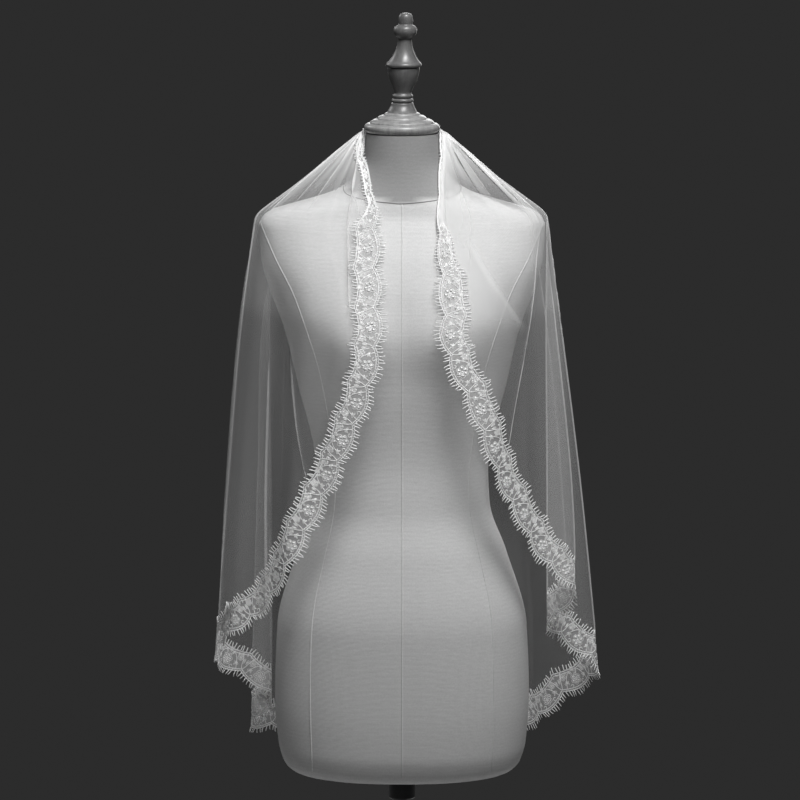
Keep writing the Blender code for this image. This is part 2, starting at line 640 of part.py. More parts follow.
def neck_cap(material):
    """The turned wooden cap on the neck."""
    profile = (
        (0.0405, 0.0000), (0.0436, 0.0014), (0.0450, 0.0050), (0.0436, 0.0092), (0.0405, 0.0108),
        (0.0395, 0.0113), (0.0382, 0.0132), (0.0335, 0.0160), (0.0312, 0.0168), (0.0300, 0.0173),
        (0.0286, 0.0190), (0.0236, 0.0210), (0.0222, 0.0217), (0.0206, 0.0236), (0.0180, 0.0245),
    )
    turned("neck_cap", [(r, CAP_Z + h) for r, h in profile], 36, material)


def finial(material):
    """The turned finial: collar, two beads, urn, ring, bell and knob."""
    profile = (
        (0.0174, 0.0000), (0.0168, 0.0020), (0.0138, 0.0078), (0.0129, 0.0108), (0.0114, 0.0113),
        (0.0129, 0.0128), (0.0129, 0.0148), (0.0114, 0.0163), (0.0104, 0.0167), (0.0118, 0.0180),
        (0.0118, 0.0202), (0.0104, 0.0218), (0.0102, 0.0236), (0.0128, 0.0300), (0.0158, 0.0368),
        (0.0180, 0.0440), (0.0189, 0.0524), (0.0184, 0.0540), (0.0206, 0.0545), (0.0214, 0.0562),
        (0.0205, 0.0584), (0.0186, 0.0602), (0.0143, 0.0660), (0.0110, 0.0730), (0.0090, 0.0800),
        (0.0081, 0.0878), (0.0090, 0.0894), (0.0122, 0.0914), (0.0138, 0.0955), (0.0136, 0.0995),
        (0.0118, 0.1034), (0.0088, 0.1046), (0.0086, 0.1066), (0.0087, 0.1124), (0.0078, 0.1160),
        (0.0052, 0.1178),
    )
    placed = [(r, FINIAL_Z + h) for r, h in profile]
    turned("finial", placed, 20, material, lean=FINIAL_LEAN)


def stand(material):
    """The pole with its mounting flange under the form, and the round base plate with its hub."""
    flange_top = FORM_BOTTOM - SEAM_GAP
    pole = (
        (POLE_RADIUS, HUB_TOP + SEAM_GAP),
        (POLE_RADIUS, flange_top - FLANGE_THICK - 0.012),
        (POLE_RADIUS + 0.005, flange_top - FLANGE_THICK - 0.010),
        (POLE_RADIUS + 0.005, flange_top - FLANGE_THICK),
        (FLANGE_RADIUS, flange_top - FLANGE_THICK),
        (FLANGE_RADIUS, flange_top),
    )
    turned("pole", pole, 24, material)
    base = (
        (BASE_RADIUS - 0.0015, 0.0),
        (BASE_RADIUS, 0.0015),
        (BASE_RADIUS, BASE_THICK - 0.003),
        (BASE_RADIUS - 0.003, BASE_THICK),
        (HUB_RADIUS + 0.006, BASE_THICK + 0.0015),
        (HUB_RADIUS, BASE_THICK + 0.006),
        (HUB_RADIUS - 0.002, HUB_TOP - 0.003),
        (HUB_RADIUS - 0.005, HUB_TOP),
    )
    turned("base_plate", base, 48, material)


def main():
    for old in list(bpy.data.objects):
        bpy.data.objects.remove(old)
    tulle_finish = finish("tulle", (0.90, 0.90, 0.90), 0.9, alpha=0.35)
    lace_finish = finish("lace", (0.93, 0.93, 0.93), 0.8)
    linen = finish("linen", (0.66, 0.66, 0.66), 0.9)
    wood = finish("turned_wood", (0.50, 0.50, 0.50), 0.55)
    black = finish("black_metal", (0.02, 0.02, 0.02), 0.4, metallic=0.6)
    edge = edge_curve()
    cuts = tulle(edge, tulle_finish)
    lace_and_fringe(edge, cuts, lace_finish)
    form_body(linen)
    neck_cap(wood)
    finial(wood)
    stand(black)


main()
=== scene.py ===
"""How the bridal veil and its dress form look: stand, covered form, turned wood, tulle and eyelash lace.

Metres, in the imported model's frame: +Z up, the floor at Z 0, the front towards -Y, left towards -X.
"""

import math

import bmesh
import bpy
import numpy as np
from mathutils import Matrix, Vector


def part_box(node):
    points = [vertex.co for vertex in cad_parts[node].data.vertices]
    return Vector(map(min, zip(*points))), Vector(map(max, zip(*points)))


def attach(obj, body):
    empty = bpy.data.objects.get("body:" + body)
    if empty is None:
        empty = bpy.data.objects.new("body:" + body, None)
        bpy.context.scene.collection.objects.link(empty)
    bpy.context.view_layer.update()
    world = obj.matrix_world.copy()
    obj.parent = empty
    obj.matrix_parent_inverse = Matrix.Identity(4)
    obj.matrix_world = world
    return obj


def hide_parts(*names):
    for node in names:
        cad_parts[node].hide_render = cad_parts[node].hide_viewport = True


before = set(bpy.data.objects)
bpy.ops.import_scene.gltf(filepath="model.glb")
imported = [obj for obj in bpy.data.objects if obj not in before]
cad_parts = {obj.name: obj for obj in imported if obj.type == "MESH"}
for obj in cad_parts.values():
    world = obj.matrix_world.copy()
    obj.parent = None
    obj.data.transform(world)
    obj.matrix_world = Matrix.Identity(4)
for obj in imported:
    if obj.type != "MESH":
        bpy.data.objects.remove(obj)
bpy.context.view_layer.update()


# Stand
# A round steel plate with a turned hub, and a steel tube that screws to the board under the form.
# Both are powder coated in satin black.
POLE_RADIUS = 0.011
SOCKET_RADIUS = 0.016
FLANGE_RADIUS = 0.045
FLANGE_THICK = 0.004
HUB_RADIUS = 0.022
STAND_SEGMENTS = 96
SCREW_RADIUS = 0.0038
SCREW_CIRCLE = 0.034
BLACK = (0.012, 0.012, 0.013, 1)


def start_clean():
    """Leaves edit mode and deselects everything, the model's own nodes too."""
    if bpy.context.object and bpy.context.object.mode != "OBJECT":
        bpy.ops.object.mode_set(mode="OBJECT")
    bpy.ops.object.select_all(action="DESELECT")


def rounded_path(points, samples):
    """Centripetal curve through points, as `samples` points."""
    p = np.array(points, float)
    p = np.vstack((2 * p[0] - p[1], p, 2 * p[-1] - p[-2]))
    gaps = np.maximum(np.linalg.norm(np.diff(p, axis=0), axis=1), 1e-9) ** 0.5
    at = np.concatenate(([0.0], np.cumsum(gaps)))
    u = np.linspace(at[1], at[-2] - 1e-9, samples)
    k = np.clip(np.searchsorted(at, u, side="right") - 1, 1, len(at) - 3)

    def mix(q0, q1, t0, t1):
        share = ((u - t0) / (t1 - t0))[:, None]
        return q0 * (1 - share) + q1 * share

    q = [p[k + j] for j in (-1, 0, 1, 2)]
    t = [at[k + j] for j in (-1, 0, 1, 2)]
    a1, a2, a3 = mix(q[0], q[1], t[0], t[1]), mix(q[1], q[2], t[1], t[2]), mix(q[2], q[3], t[2], t[3])
    b1, b2 = mix(a1, a2, t[0], t[2]), mix(a2, a3, t[1], t[3])
    return mix(b1, b2, t[1], t[2])


def turned(name, profile, segments, lean=0.0):
    """A piece turned on a lathe: a disc extruded ring by ring through (radius, height) points."""
    start_clean()
    radius, foot = profile[0]
    bpy.ops.mesh.primitive_circle_add(vertices=segments, radius=radius, fill_type="NGON", location=(0, 0, foot))
    piece = bpy.context.object
    piece.name = name
    bpy.ops.object.transform_apply(location=True, rotation=True, scale=True)
    bpy.ops.object.mode_set(mode="EDIT")
    bpy.ops.mesh.select_all(action="SELECT")
    for (near, low), (far, high) in zip(profile, profile[1:]):
        bpy.ops.mesh.extrude_region_move(TRANSFORM_OT_translate={"value": (lean * (high - low), 0, high - low)})
        centre = (lean * (high - foot), 0, high)
        bpy.ops.transform.resize(value=(far / near, far / near, 1), center_override=centre)
    bpy.ops.mesh.select_all(action="SELECT")
    bpy.ops.mesh.normals_make_consistent(inside=False)
    bpy.ops.object.mode_set(mode="OBJECT")
    bpy.ops.object.shade_smooth_by_angle(angle=math.radians(40))
    return piece


def plain_finish(name, colour, roughness, metallic=0.0):
    """A new material, its shader and its two lists of nodes and links."""
    made = bpy.data.materials.new(name)
    made.use_nodes = True
    nodes, links = made.node_tree.nodes, made.node_tree.links
    shader = nodes["Principled BSDF"]
    shader.inputs["Base Color"].default_value = colour
    shader.inputs["Roughness"].default_value = roughness
    shader.inputs["Metallic"].default_value = metallic
    return made, shader, nodes, links


def add_node(nodes, kind, **settings):
    """A shader node with its settings, and inputs given by name."""
    made = nodes.new(kind)
    inputs = settings.pop("inputs", {})
    for key, value in settings.items():
        setattr(made, key, value)
    for key, value in inputs.items():
        made.inputs[key].default_value = value
    return made


def ramp_between(nodes, low, high, dark, light):
    """A colour ramp from dark at `low` to light at `high`."""
    made = nodes.new("ShaderNodeValToRGB")
    made.color_ramp.elements[0].position = low
    made.color_ramp.elements[0].color = (dark, dark, dark, 1)
    made.color_ramp.elements[1].position = high
    made.color_ramp.elements[1].color = (light, light, light, 1)
    return made


def powder_coat():
    """Satin black powder coat with a fine orange-peel surface."""
    made, shader, nodes, links = plain_finish("black_powder_coat", BLACK, 0.38)
    place = add_node(nodes, "ShaderNodeTexCoord")
    peel = add_node(nodes, "ShaderNodeTexNoise", inputs={"Scale": 900.0, "Detail": 3.0})
    worn = add_node(nodes, "ShaderNodeTexNoise", inputs={"Scale": 14.0, "Detail": 6.0})
    gloss = ramp_between(nodes, 0.35, 0.7, 0.30, 0.46)
    bump = add_node(nodes, "ShaderNodeBump", inputs={"Strength": 0.12, "Distance": 0.0004})
    links.new(place.outputs["Object"], peel.inputs["Vector"])
    links.new(place.outputs["Object"], worn.inputs["Vector"])
    links.new(worn.outputs["Fac"], gloss.inputs["Fac"])
    links.new(gloss.outputs["Color"], shader.inputs["Roughness"])
    links.new(peel.outputs["Fac"], bump.inputs["Height"])
    links.new(bump.outputs["Normal"], shader.inputs["Normal"])
    return made


black_coat = powder_coat()
form_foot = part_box("form_body")[0].z
base_low, base_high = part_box("base_plate")
BASE_RADIUS = base_high.x
BASE_TOP = 0.008
base_profile = [
    (BASE_RADIUS - 0.0020, 0.0000),
    (BASE_RADIUS - 0.0005, 0.0005),
    (BASE_RADIUS, 0.0020),
    (BASE_RADIUS, 0.0050),
    (BASE_RADIUS - 0.0008, 0.0070),
    (BASE_RADIUS - 0.0030, BASE_TOP),
    (HUB_RADIUS + 0.0080, BASE_TOP + 0.0010),
    (HUB_RADIUS + 0.0030, BASE_TOP + 0.0022),
    (HUB_RADIUS + 0.0006, BASE_TOP + 0.0060),
    (HUB_RADIUS, BASE_TOP + 0.0100),
    (HUB_RADIUS - 0.0010, base_high.z - 0.0030),
    (HUB_RADIUS - 0.0030, base_high.z - 0.0005),
    (HUB_RADIUS - 0.0055, base_high.z),
]
base_plate = turned("stand_base", base_profile, STAND_SEGMENTS)
base_plate.data.materials.append(black_coat)
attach(base_plate, "root")
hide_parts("base_plate")

flange_top = form_foot - 0.0004
pole_profile = [
    (POLE_RADIUS, base_high.z + 0.0004),
    (POLE_RADIUS, flange_top - FLANGE_THICK - 0.0300),
    (SOCKET_RADIUS - 0.0015, flange_top - FLANGE_THICK - 0.0300),
    (SOCKET_RADIUS, flange_top - FLANGE_THICK - 0.0285),
    (SOCKET_RADIUS, flange_top - FLANGE_THICK - 0.0020),
    (SOCKET_RADIUS + 0.0020, flange_top - FLANGE_THICK),
    (FLANGE_RADIUS - 0.0010, flange_top - FLANGE_THICK),
    (FLANGE_RADIUS, flange_top - FLANGE_THICK + 0.0010),
    (FLANGE_RADIUS, flange_top),
]
pole = turned("stand_pole", pole_profile, STAND_SEGMENTS // 2)
pole.data.materials.append(black_coat)
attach(pole, "root")
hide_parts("pole")

screws = []
for k in range(4):
    turn = math.radians(45 + 90 * k)
    centre = (SCREW_CIRCLE * math.cos(turn), SCREW_CIRCLE * math.sin(turn))
    start_clean()
    bpy.ops.mesh.primitive_uv_sphere_add(
        segments=20, ring_count=10, radius=SCREW_RADIUS, location=(*centre, flange_top - FLANGE_THICK)
    )
    screw = bpy.context.object
    screw.scale = (1, 1, 0.45)
    bpy.ops.object.transform_apply(location=True, rotation=True, scale=True)
    screw.data.shade_smooth()
    screws.append(screw)
start_clean()
for screw in screws:
    screw.select_set(True)
bpy.context.view_layer.objects.active = screws[0]
bpy.ops.object.join()
screws[0].name = "flange_screws"
screws[0].data.name = "flange_screws"
screws[0].data.materials.append(plain_finish("screw_steel", (0.35, 0.35, 0.36, 1), 0.35, 1.0)[0])
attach(screws[0], "root")


# Dress form
# A moulded torso and neck without limbs, covered in stretched natural linen.
# Its shape is a stack of rounded sections, with a soft swell at the bust.
FORM_COLUMNS = ("height", "half_width", "front", "back", "squareness")
FORM_SECTIONS = (
    (0.5600, 0.118, 0.080, 0.084, 2.30),
    (0.5640, 0.132, 0.091, 0.096, 2.35),
    (0.5750, 0.143, 0.099, 0.105, 2.40),
    (0.5950, 0.149, 0.104, 0.110, 2.40),
    (0.6500, 0.153, 0.106, 0.114, 2.40),
    (0.7400, 0.150, 0.106, 0.115, 2.30),
    (0.8310, 0.125, 0.094, 0.096, 2.20),
    (0.8890, 0.105, 0.084, 0.076, 2.10),
    (0.9300, 0.103, 0.083, 0.072, 2.10),
    (1.0400, 0.126, 0.097, 0.088, 2.20),
    (1.1000, 0.140, 0.104, 0.096, 2.28),
    (1.1470, 0.157, 0.099, 0.099, 2.40),
    (1.1840, 0.167, 0.088, 0.095, 2.50),
    (1.2260, 0.170, 0.066, 0.083, 2.50),
    (1.2400, 0.162, 0.058, 0.077, 2.45),
    (1.2535, 0.119, 0.055, 0.070, 2.30),
    (1.2660, 0.081, 0.051, 0.062, 2.10),
    (1.2840, 0.057, 0.047, 0.052, 2.00),
    (1.3050, 0.0455, 0.0445, 0.045, 2.00),
    (1.3350, 0.0430, 0.0430, 0.043, 2.00),
)
FORM_SEGMENTS = 144
FORM_RING_STEP = 0.0055
BUST_POINT = (0.074, 1.100)
BUST_RISE = 0.021
BUST_SPREAD = (0.050, 0.052)
WEAVE_GIRTH = 0.135
LINEN_DARK = 0.625
LINEN_LIGHT = 0.685
# How dark the linen is on the neck above its seam, as a share of the rest
NECK_TONE = 0.50
NECK_BLEND = 0.003
NECK_SEAM = ((-90, 1.2560), (-45, 1.2640), (0, 1.2740), (45, 1.2780), (90, 1.2800))


def monotone(knots, values, at):
    """Smooth curve through (knots, values) that never overshoots, read at `at`."""
    knots = np.asarray(knots, float)
    values = np.asarray(values, float)
    at = np.clip(at, knots[0], knots[-1])
    widths = np.diff(knots)
    slopes = np.diff(values) / widths
    before, after = slopes[:-1], slopes[1:]
    same_way = before * after > 0
    safe = np.where(same_way, before + after, 1.0)
    inner = np.where(same_way, 2 * before * after / safe, 0.0)
    tangents = np.concatenate((slopes[:1], inner, slopes[-1:]))
    i = np.clip(np.searchsorted(knots, at, side="right") - 1, 0, len(widths) - 1)
    t = (at - knots[i]) / widths[i]
    return (
        values[i] * (2 * t**3 - 3 * t**2 + 1)
        + values[i + 1] * (3 * t**2 - 2 * t**3)
        + widths[i] * (tangents[i] * (t**3 - 2 * t**2 + t) + tangents[i + 1] * (t**3 - t**2))
    )


def form_size(column, z):
    """One of the dress form's measures at height z."""
    heights = [row[0] for row in FORM_SECTIONS]
    return monotone(heights, [row[FORM_COLUMNS.index(column)] for row in FORM_SECTIONS], z)


def bust_rise(x, z):
    """How far the front of the form swells at the bust."""
    across = (np.abs(x) - BUST_POINT[0]) / BUST_SPREAD[0]
    up = (z - BUST_POINT[1]) / BUST_SPREAD[1]
    return BUST_RISE * np.exp(-(across**2) - up**2)


def on_form(turn, z):
    """Points on the form's surface at angle `turn` from +X and height z."""
    turn, z = np.broadcast_arrays(np.asarray(turn, float), np.asarray(z, float))
    c, s = np.cos(turn), np.sin(turn)
    power = 2 / form_size("squareness", z)
    x = form_size("half_width", z) * np.sign(c) * np.abs(c) ** power
    depth = np.where(s > 0, form_size("back", z), form_size("front", z) + bust_rise(x, z))
    return np.stack((x, depth * np.sign(s) * np.abs(s) ** power, z), axis=-1)


def mesh_points(piece):
    """A piece's vertices as an array."""
    points = np.empty(len(piece.data.vertices) * 3)
    piece.data.vertices.foreach_get("co", points)
    return points.reshape(-1, 3)


def set_mesh_points(piece, points):
    piece.data.vertices.foreach_set("co", np.asarray(points, float).ravel())
    piece.data.update()


def linen():
    """Plain linen: crossed threads, thicker and thinner yarns across, a slight fuzz, and darker on the neck above its
    seam.
    """
    made, shader, nodes, links = plain_finish("linen_cover", (0.66, 0.66, 0.655, 1), 0.9)
    neck_share = add_node(nodes, "ShaderNodeAttribute", attribute_name="neck_share")
    neck_shades = ramp_between(nodes, 0.0, 1.0, 1.0, NECK_TONE)
    toned = add_node(nodes, "ShaderNodeMix", data_type="RGBA", blend_type="MULTIPLY")
    toned.inputs["Factor"].default_value = 1.0
    shader.inputs["Sheen Weight"].default_value = 0.10
    shader.inputs["Sheen Roughness"].default_value = 0.5
    shader.inputs["Specular IOR Level"].default_value = 0.25
    weave = add_node(nodes, "ShaderNodeUVMap", uv_map="weave")
    across = add_node(nodes, "ShaderNodeTexWave", bands_direction="X", inputs={"Scale": 220.0, "Distortion": 0.4})
    along = add_node(nodes, "ShaderNodeTexWave", bands_direction="Y", inputs={"Scale": 220.0, "Distortion": 0.4})
    stretch = add_node(nodes, "ShaderNodeMapping", inputs={"Scale": (60.0, 420.0, 1.0)})
    slubs = add_node(nodes, "ShaderNodeTexNoise", inputs={"Scale": 1.0, "Detail": 3.0, "Roughness": 0.6})
    rows = add_node(
        nodes,
        "ShaderNodeTexWave",
        bands_direction="Y",
        inputs={"Scale": 64.0, "Distortion": 5.0, "Detail": 2.0, "Detail Scale": 0.25, "Detail Roughness": 0.6},
    )
    shades = ramp_between(nodes, 0.30, 0.72, LINEN_DARK, LINEN_LIGHT)
    row_shades = ramp_between(nodes, 0.0, 1.0, 0.975, 1.0)
    grain = add_node(nodes, "ShaderNodeTexNoise", inputs={"Scale": 430.0, "Detail": 1.0, "Roughness": 0.5})
    grain_shades = ramp_between(nodes, 0.36, 0.64, 0.93, 1.0)
    grained = add_node(nodes, "ShaderNodeMix", data_type="RGBA", blend_type="MULTIPLY")
    grained.inputs["Factor"].default_value = 1.0
    mixed = add_node(nodes, "ShaderNodeMix", data_type="RGBA", blend_type="MULTIPLY")
    mixed.inputs["Factor"].default_value = 1.0
    threads = add_node(nodes, "ShaderNodeMath", operation="ADD")
    relief = add_node(nodes, "ShaderNodeMath", operation="ADD")
    bump = add_node(nodes, "ShaderNodeBump", inputs={"Strength": 0.35, "Distance": 0.0003})
    for texture in (across, along, rows, stretch, grain):
        links.new(weave.outputs["UV"], texture.inputs["Vector"])
    links.new(stretch.outputs["Vector"], slubs.inputs["Vector"])
    links.new(slubs.outputs["Fac"], shades.inputs["Fac"])
    links.new(rows.outputs["Fac"], row_shades.inputs["Fac"])
    links.new(shades.outputs["Color"], mixed.inputs["A"])
    links.new(row_shades.outputs["Color"], mixed.inputs["B"])
    links.new(grain.outputs["Fac"], grain_shades.inputs["Fac"])
    links.new(mixed.outputs["Result"], grained.inputs["A"])
    links.new(grain_shades.outputs["Color"], grained.inputs["B"])
    links.new(neck_share.outputs["Fac"], neck_shades.inputs["Fac"])
    links.new(grained.outputs["Result"], toned.inputs["A"])
    links.new(neck_shades.outputs["Color"], toned.inputs["B"])
    links.new(toned.outputs["Result"], shader.inputs["Base Color"])
    links.new(across.outputs["Fac"], threads.inputs[0])
    links.new(along.outputs["Fac"], threads.inputs[1])
    links.new(threads.outputs["Value"], relief.inputs[0])
    links.new(slubs.outputs["Fac"], relief.inputs[1])
    links.new(relief.outputs["Value"], bump.inputs["Height"])
    links.new(bump.outputs["Normal"], shader.inputs["Normal"])
    return made


def neck_seam_height(turn):
    """Height of the seam round the foot of the neck at an angle from +X."""
    folded = np.degrees(np.arcsin(np.sin(turn)))
    return monotone([row[0] for row in NECK_SEAM], [row[1] for row in NECK_SEAM], folded)


def lay_out_weave(piece):
    """A UV map in metres, round the form from the back seam and up, and how far each point lies on the neck above its
    seam, where the linen is darker.
    """
    points = mesh_points(piece)
    above = points[:, 2] - neck_seam_height(np.arctan2(points[:, 1], points[:, 0]))
    neck = piece.data.attributes.new("neck_share", "FLOAT", "POINT")
    neck.data.foreach_set("value", np.clip(0.5 + above / NECK_BLEND, 0.0, 1.0))
    turn = np.arctan2(points[:, 0], -points[:, 1])
    layer = piece.data.uv_layers.new(name="weave")
    for face in piece.data.polygons:
        turns = [turn[k] for k in face.vertices]
        wraps = max(turns) - min(turns) > math.pi
        for loop, k, angle in zip(face.loop_indices, face.vertices, turns):
            full = angle + 2 * math.pi if wraps and angle < 0 else angle
            layer.data[loop].uv = (full * WEAVE_GIRTH, points[k, 2])


form_top = FORM_SECTIONS[-1][0]
ring_heights = list(np.linspace(form_foot, form_foot + 0.02, 9))[:-1]
ring_heights += list(np.linspace(form_foot + 0.02, form_top, round((form_top - form_foot) / FORM_RING_STEP)))
form = turned("dress_form", [(0.1, height) for height in ring_heights], FORM_SEGMENTS)
round_points = mesh_points(form)
set_mesh_points(form, on_form(np.arctan2(round_points[:, 1], round_points[:, 0]), round_points[:, 2]))
lay_out_weave(form)
linen_cover = linen()
form.data.materials.append(linen_cover)
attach(form, "root")
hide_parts("form_body")


# Seams of the form's cover
# The linen is cut in panels: the seams run down the front, the back and the sides, and round the neck.
# Each shows as a narrow pressed ridge, and the one round the neck as a narrow dark line.
SEAM_WIDTH = 0.0028
SEAM_HEIGHT = 0.0007
SEAM_SAMPLES = 150
NECK_SEAM_WIDTH = 0.0016
NECK_SEAM_HEIGHT = 0.0005
SIDE_SEAM_COLUMNS = ("x", "z")
FRONT_PANEL_SEAM = (
    (0.1690, 1.2300),
    (0.1500, 1.1900),
    (0.1300, 1.1530),
    (0.1130, 1.1080),
    (0.1000, 1.0660),
    (0.0880, 1.0000),
    (0.0800, 0.9300),
    (0.0820, 0.8850),
    (0.0950, 0.8250),
    (0.1060, 0.7700),
    (0.1100, 0.6900),
    (0.1080, 0.5750),
)
BACK_PANEL_SEAM = (
    (0.1300, 1.2360),
    (0.1200, 1.1500),
    (0.1000, 1.0500),
    (0.0680, 0.9500),
    (0.0620, 0.9000),
    (0.0780, 0.8200),
    (0.0900, 0.7400),
    (0.0900, 0.5750),
)


def unit(v):
    return v / np.maximum(np.linalg.norm(v, axis=-1, keepdims=True), 1e-12)


def at_width(x, z, front):
    """The angle on the form at which its surface has this x."""
    share = np.clip(np.abs(x) / form_size("half_width", z), 0.0, 1.0) ** (form_size("squareness", z) / 2)
    turn = np.arccos(share)
    turn = np.where(np.asarray(x) < 0, math.pi - turn, turn)
    return -turn if front else turn


def ridge_mesh(name, paths, width, height, material):
    """Low ridges with a rounded back, laid along paths on the form. Each path is points and normals."""
    made = bmesh.new()
    for points, normals in paths:
        tangents = unit(np.gradient(points, axis=0))
        sides = unit(np.cross(tangents, normals))
        rings = []
        for k in range(len(points)):
            ring = []
            for across, up in ((-0.5, -0.4), (-0.30, 0.55), (0.0, 0.85), (0.30, 0.55), (0.5, -0.4)):
                place = points[k] + sides[k] * across * width + normals[k] * up * height
                ring.append(made.verts.new(place))
            rings.append(ring)
        for near, far in zip(rings, rings[1:]):
            for j in range(5):
                made.faces.new((near[j], near[(j + 1) % 5], far[(j + 1) % 5], far[j]))
        made.faces.new(rings[0][::-1])
        made.faces.new(rings[-1])
    bmesh.ops.recalc_face_normals(made, faces=made.faces)
    mesh = bpy.data.meshes.new(name)
    made.to_mesh(mesh)
    made.free()
    mesh.shade_smooth()
    mesh.materials.append(material)
    piece = bpy.data.objects.new(name, mesh)
    bpy.context.scene.collection.objects.link(piece)
    return piece


def form_normal(turn, z):
    """Unit normal of the form's surface."""
    step = 0.01
    round_way = on_form(turn + step, z) - on_form(turn - step, z)
    up_way = on_form(turn, z + step / 10) - on_form(turn, z - step / 10)
    return unit(np.cross(round_way, up_way))


def seam_path(turn, z):
    return on_form(turn, z), form_normal(turn, z)


seam_paths = []
down = np.linspace(1.2555, form_foot + 0.012, SEAM_SAMPLES)
seam_paths.append(seam_path(np.full(SEAM_SAMPLES, -math.pi / 2), down))
down = np.linspace(1.2790, form_foot + 0.012, SEAM_SAMPLES)
seam_paths.append(seam_path(np.full(SEAM_SAMPLES, math.pi / 2), down))
for side in (-1, 1):
    for panel_seam, front in ((FRONT_PANEL_SEAM, True), (BACK_PANEL_SEAM, False)):
        line = rounded_path(panel_seam, SEAM_SAMPLES)
        seam_paths.append(seam_path(at_width(side * line[:, 0], line[:, 1], front), line[:, 1]))
    down = np.linspace(1.228, form_foot + 0.012, SEAM_SAMPLES)
    seam_paths.append(seam_path(np.full(SEAM_SAMPLES, 0.0 if side > 0 else math.pi), down))
neck_turn = np.radians(np.linspace(-90, 270, SEAM_SAMPLES))
cover_seams = ridge_mesh("cover_seams", seam_paths, SEAM_WIDTH, SEAM_HEIGHT, linen_cover)
lay_out_weave(cover_seams)
neck_path = seam_path(neck_turn, neck_seam_height(neck_turn))
seam_shade = plain_finish("seam_shade", (0.20, 0.20, 0.20, 1), 0.9)[0]
neck_seam = ridge_mesh("neck_seam", [neck_path], NECK_SEAM_WIDTH, NECK_SEAM_HEIGHT, seam_shade)
for seam in (cover_seams, neck_seam):
    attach(seam, "root")


# Neck cap and finial
# Both are turned from one pale wood: a stepped cap that closes the neck, and a finial that screws into it.
# The finial leans a little to the right, as the real one does.
CAP_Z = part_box("neck_cap")[0].z
CAP_PROFILE = (
    (0.0400, 0.0000), (0.0422, 0.0008), (0.0441, 0.0030), (0.0450, 0.0058), (0.0446, 0.0084), (0.0430, 0.0104),
    (0.0405, 0.0116), (0.0391, 0.0117), (0.0387, 0.0110), (0.0383, 0.0117), (0.0378, 0.0132), (0.0360, 0.0148),
    (0.0335, 0.0160), (0.0312, 0.0167), (0.0304, 0.0168), (0.0301, 0.0161), (0.0297, 0.0168), (0.0290, 0.0184),
    (0.0268, 0.0200), (0.0242, 0.0210), (0.0228, 0.0213), (0.0221, 0.0206), (0.0217, 0.0214), (0.0208, 0.0232),
    (0.0192, 0.0242), (0.0180, 0.0245),
)
FINIAL_Z = CAP_Z + 0.0248
FINIAL_LEAN = 0.038
FINIAL_PROFILE = (
    (0.0174, 0.0000), (0.0168, 0.0020), (0.0138, 0.0078), (0.0129, 0.0108), (0.0114, 0.0113),
    (0.0129, 0.0128), (0.0129, 0.0148), (0.0114, 0.0163), (0.0104, 0.0167), (0.0118, 0.0180),
    (0.0118, 0.0202), (0.0104, 0.0218), (0.0102, 0.0236), (0.0128, 0.0300), (0.0158, 0.0368),
    (0.0180, 0.0440), (0.0189, 0.0524), (0.0184, 0.0540), (0.0206, 0.0545), (0.0214, 0.0562),
    (0.0205, 0.0584), (0.0186, 0.0602), (0.0143, 0.0660), (0.0110, 0.0730), (0.0090, 0.0800),
    (0.0081, 0.0876), (0.0094, 0.0892), (0.0120, 0.0914), (0.0136, 0.0944), (0.0139, 0.0974),
    (0.0131, 0.1004), (0.0112, 0.1026), (0.0090, 0.1036), (0.0084, 0.1046), (0.0086, 0.1070),
    (0.0086, 0.1112), (0.0080, 0.1142), (0.0064, 0.1166), (0.0036, 0.1177),
)
WOOD_DARK = 0.21
WOOD_LIGHT = 0.34
# How far painted shade darkens the finial's wood, standing in for the lesser light that reaches it
FINIAL_PAINTED_SHADE = 0.43


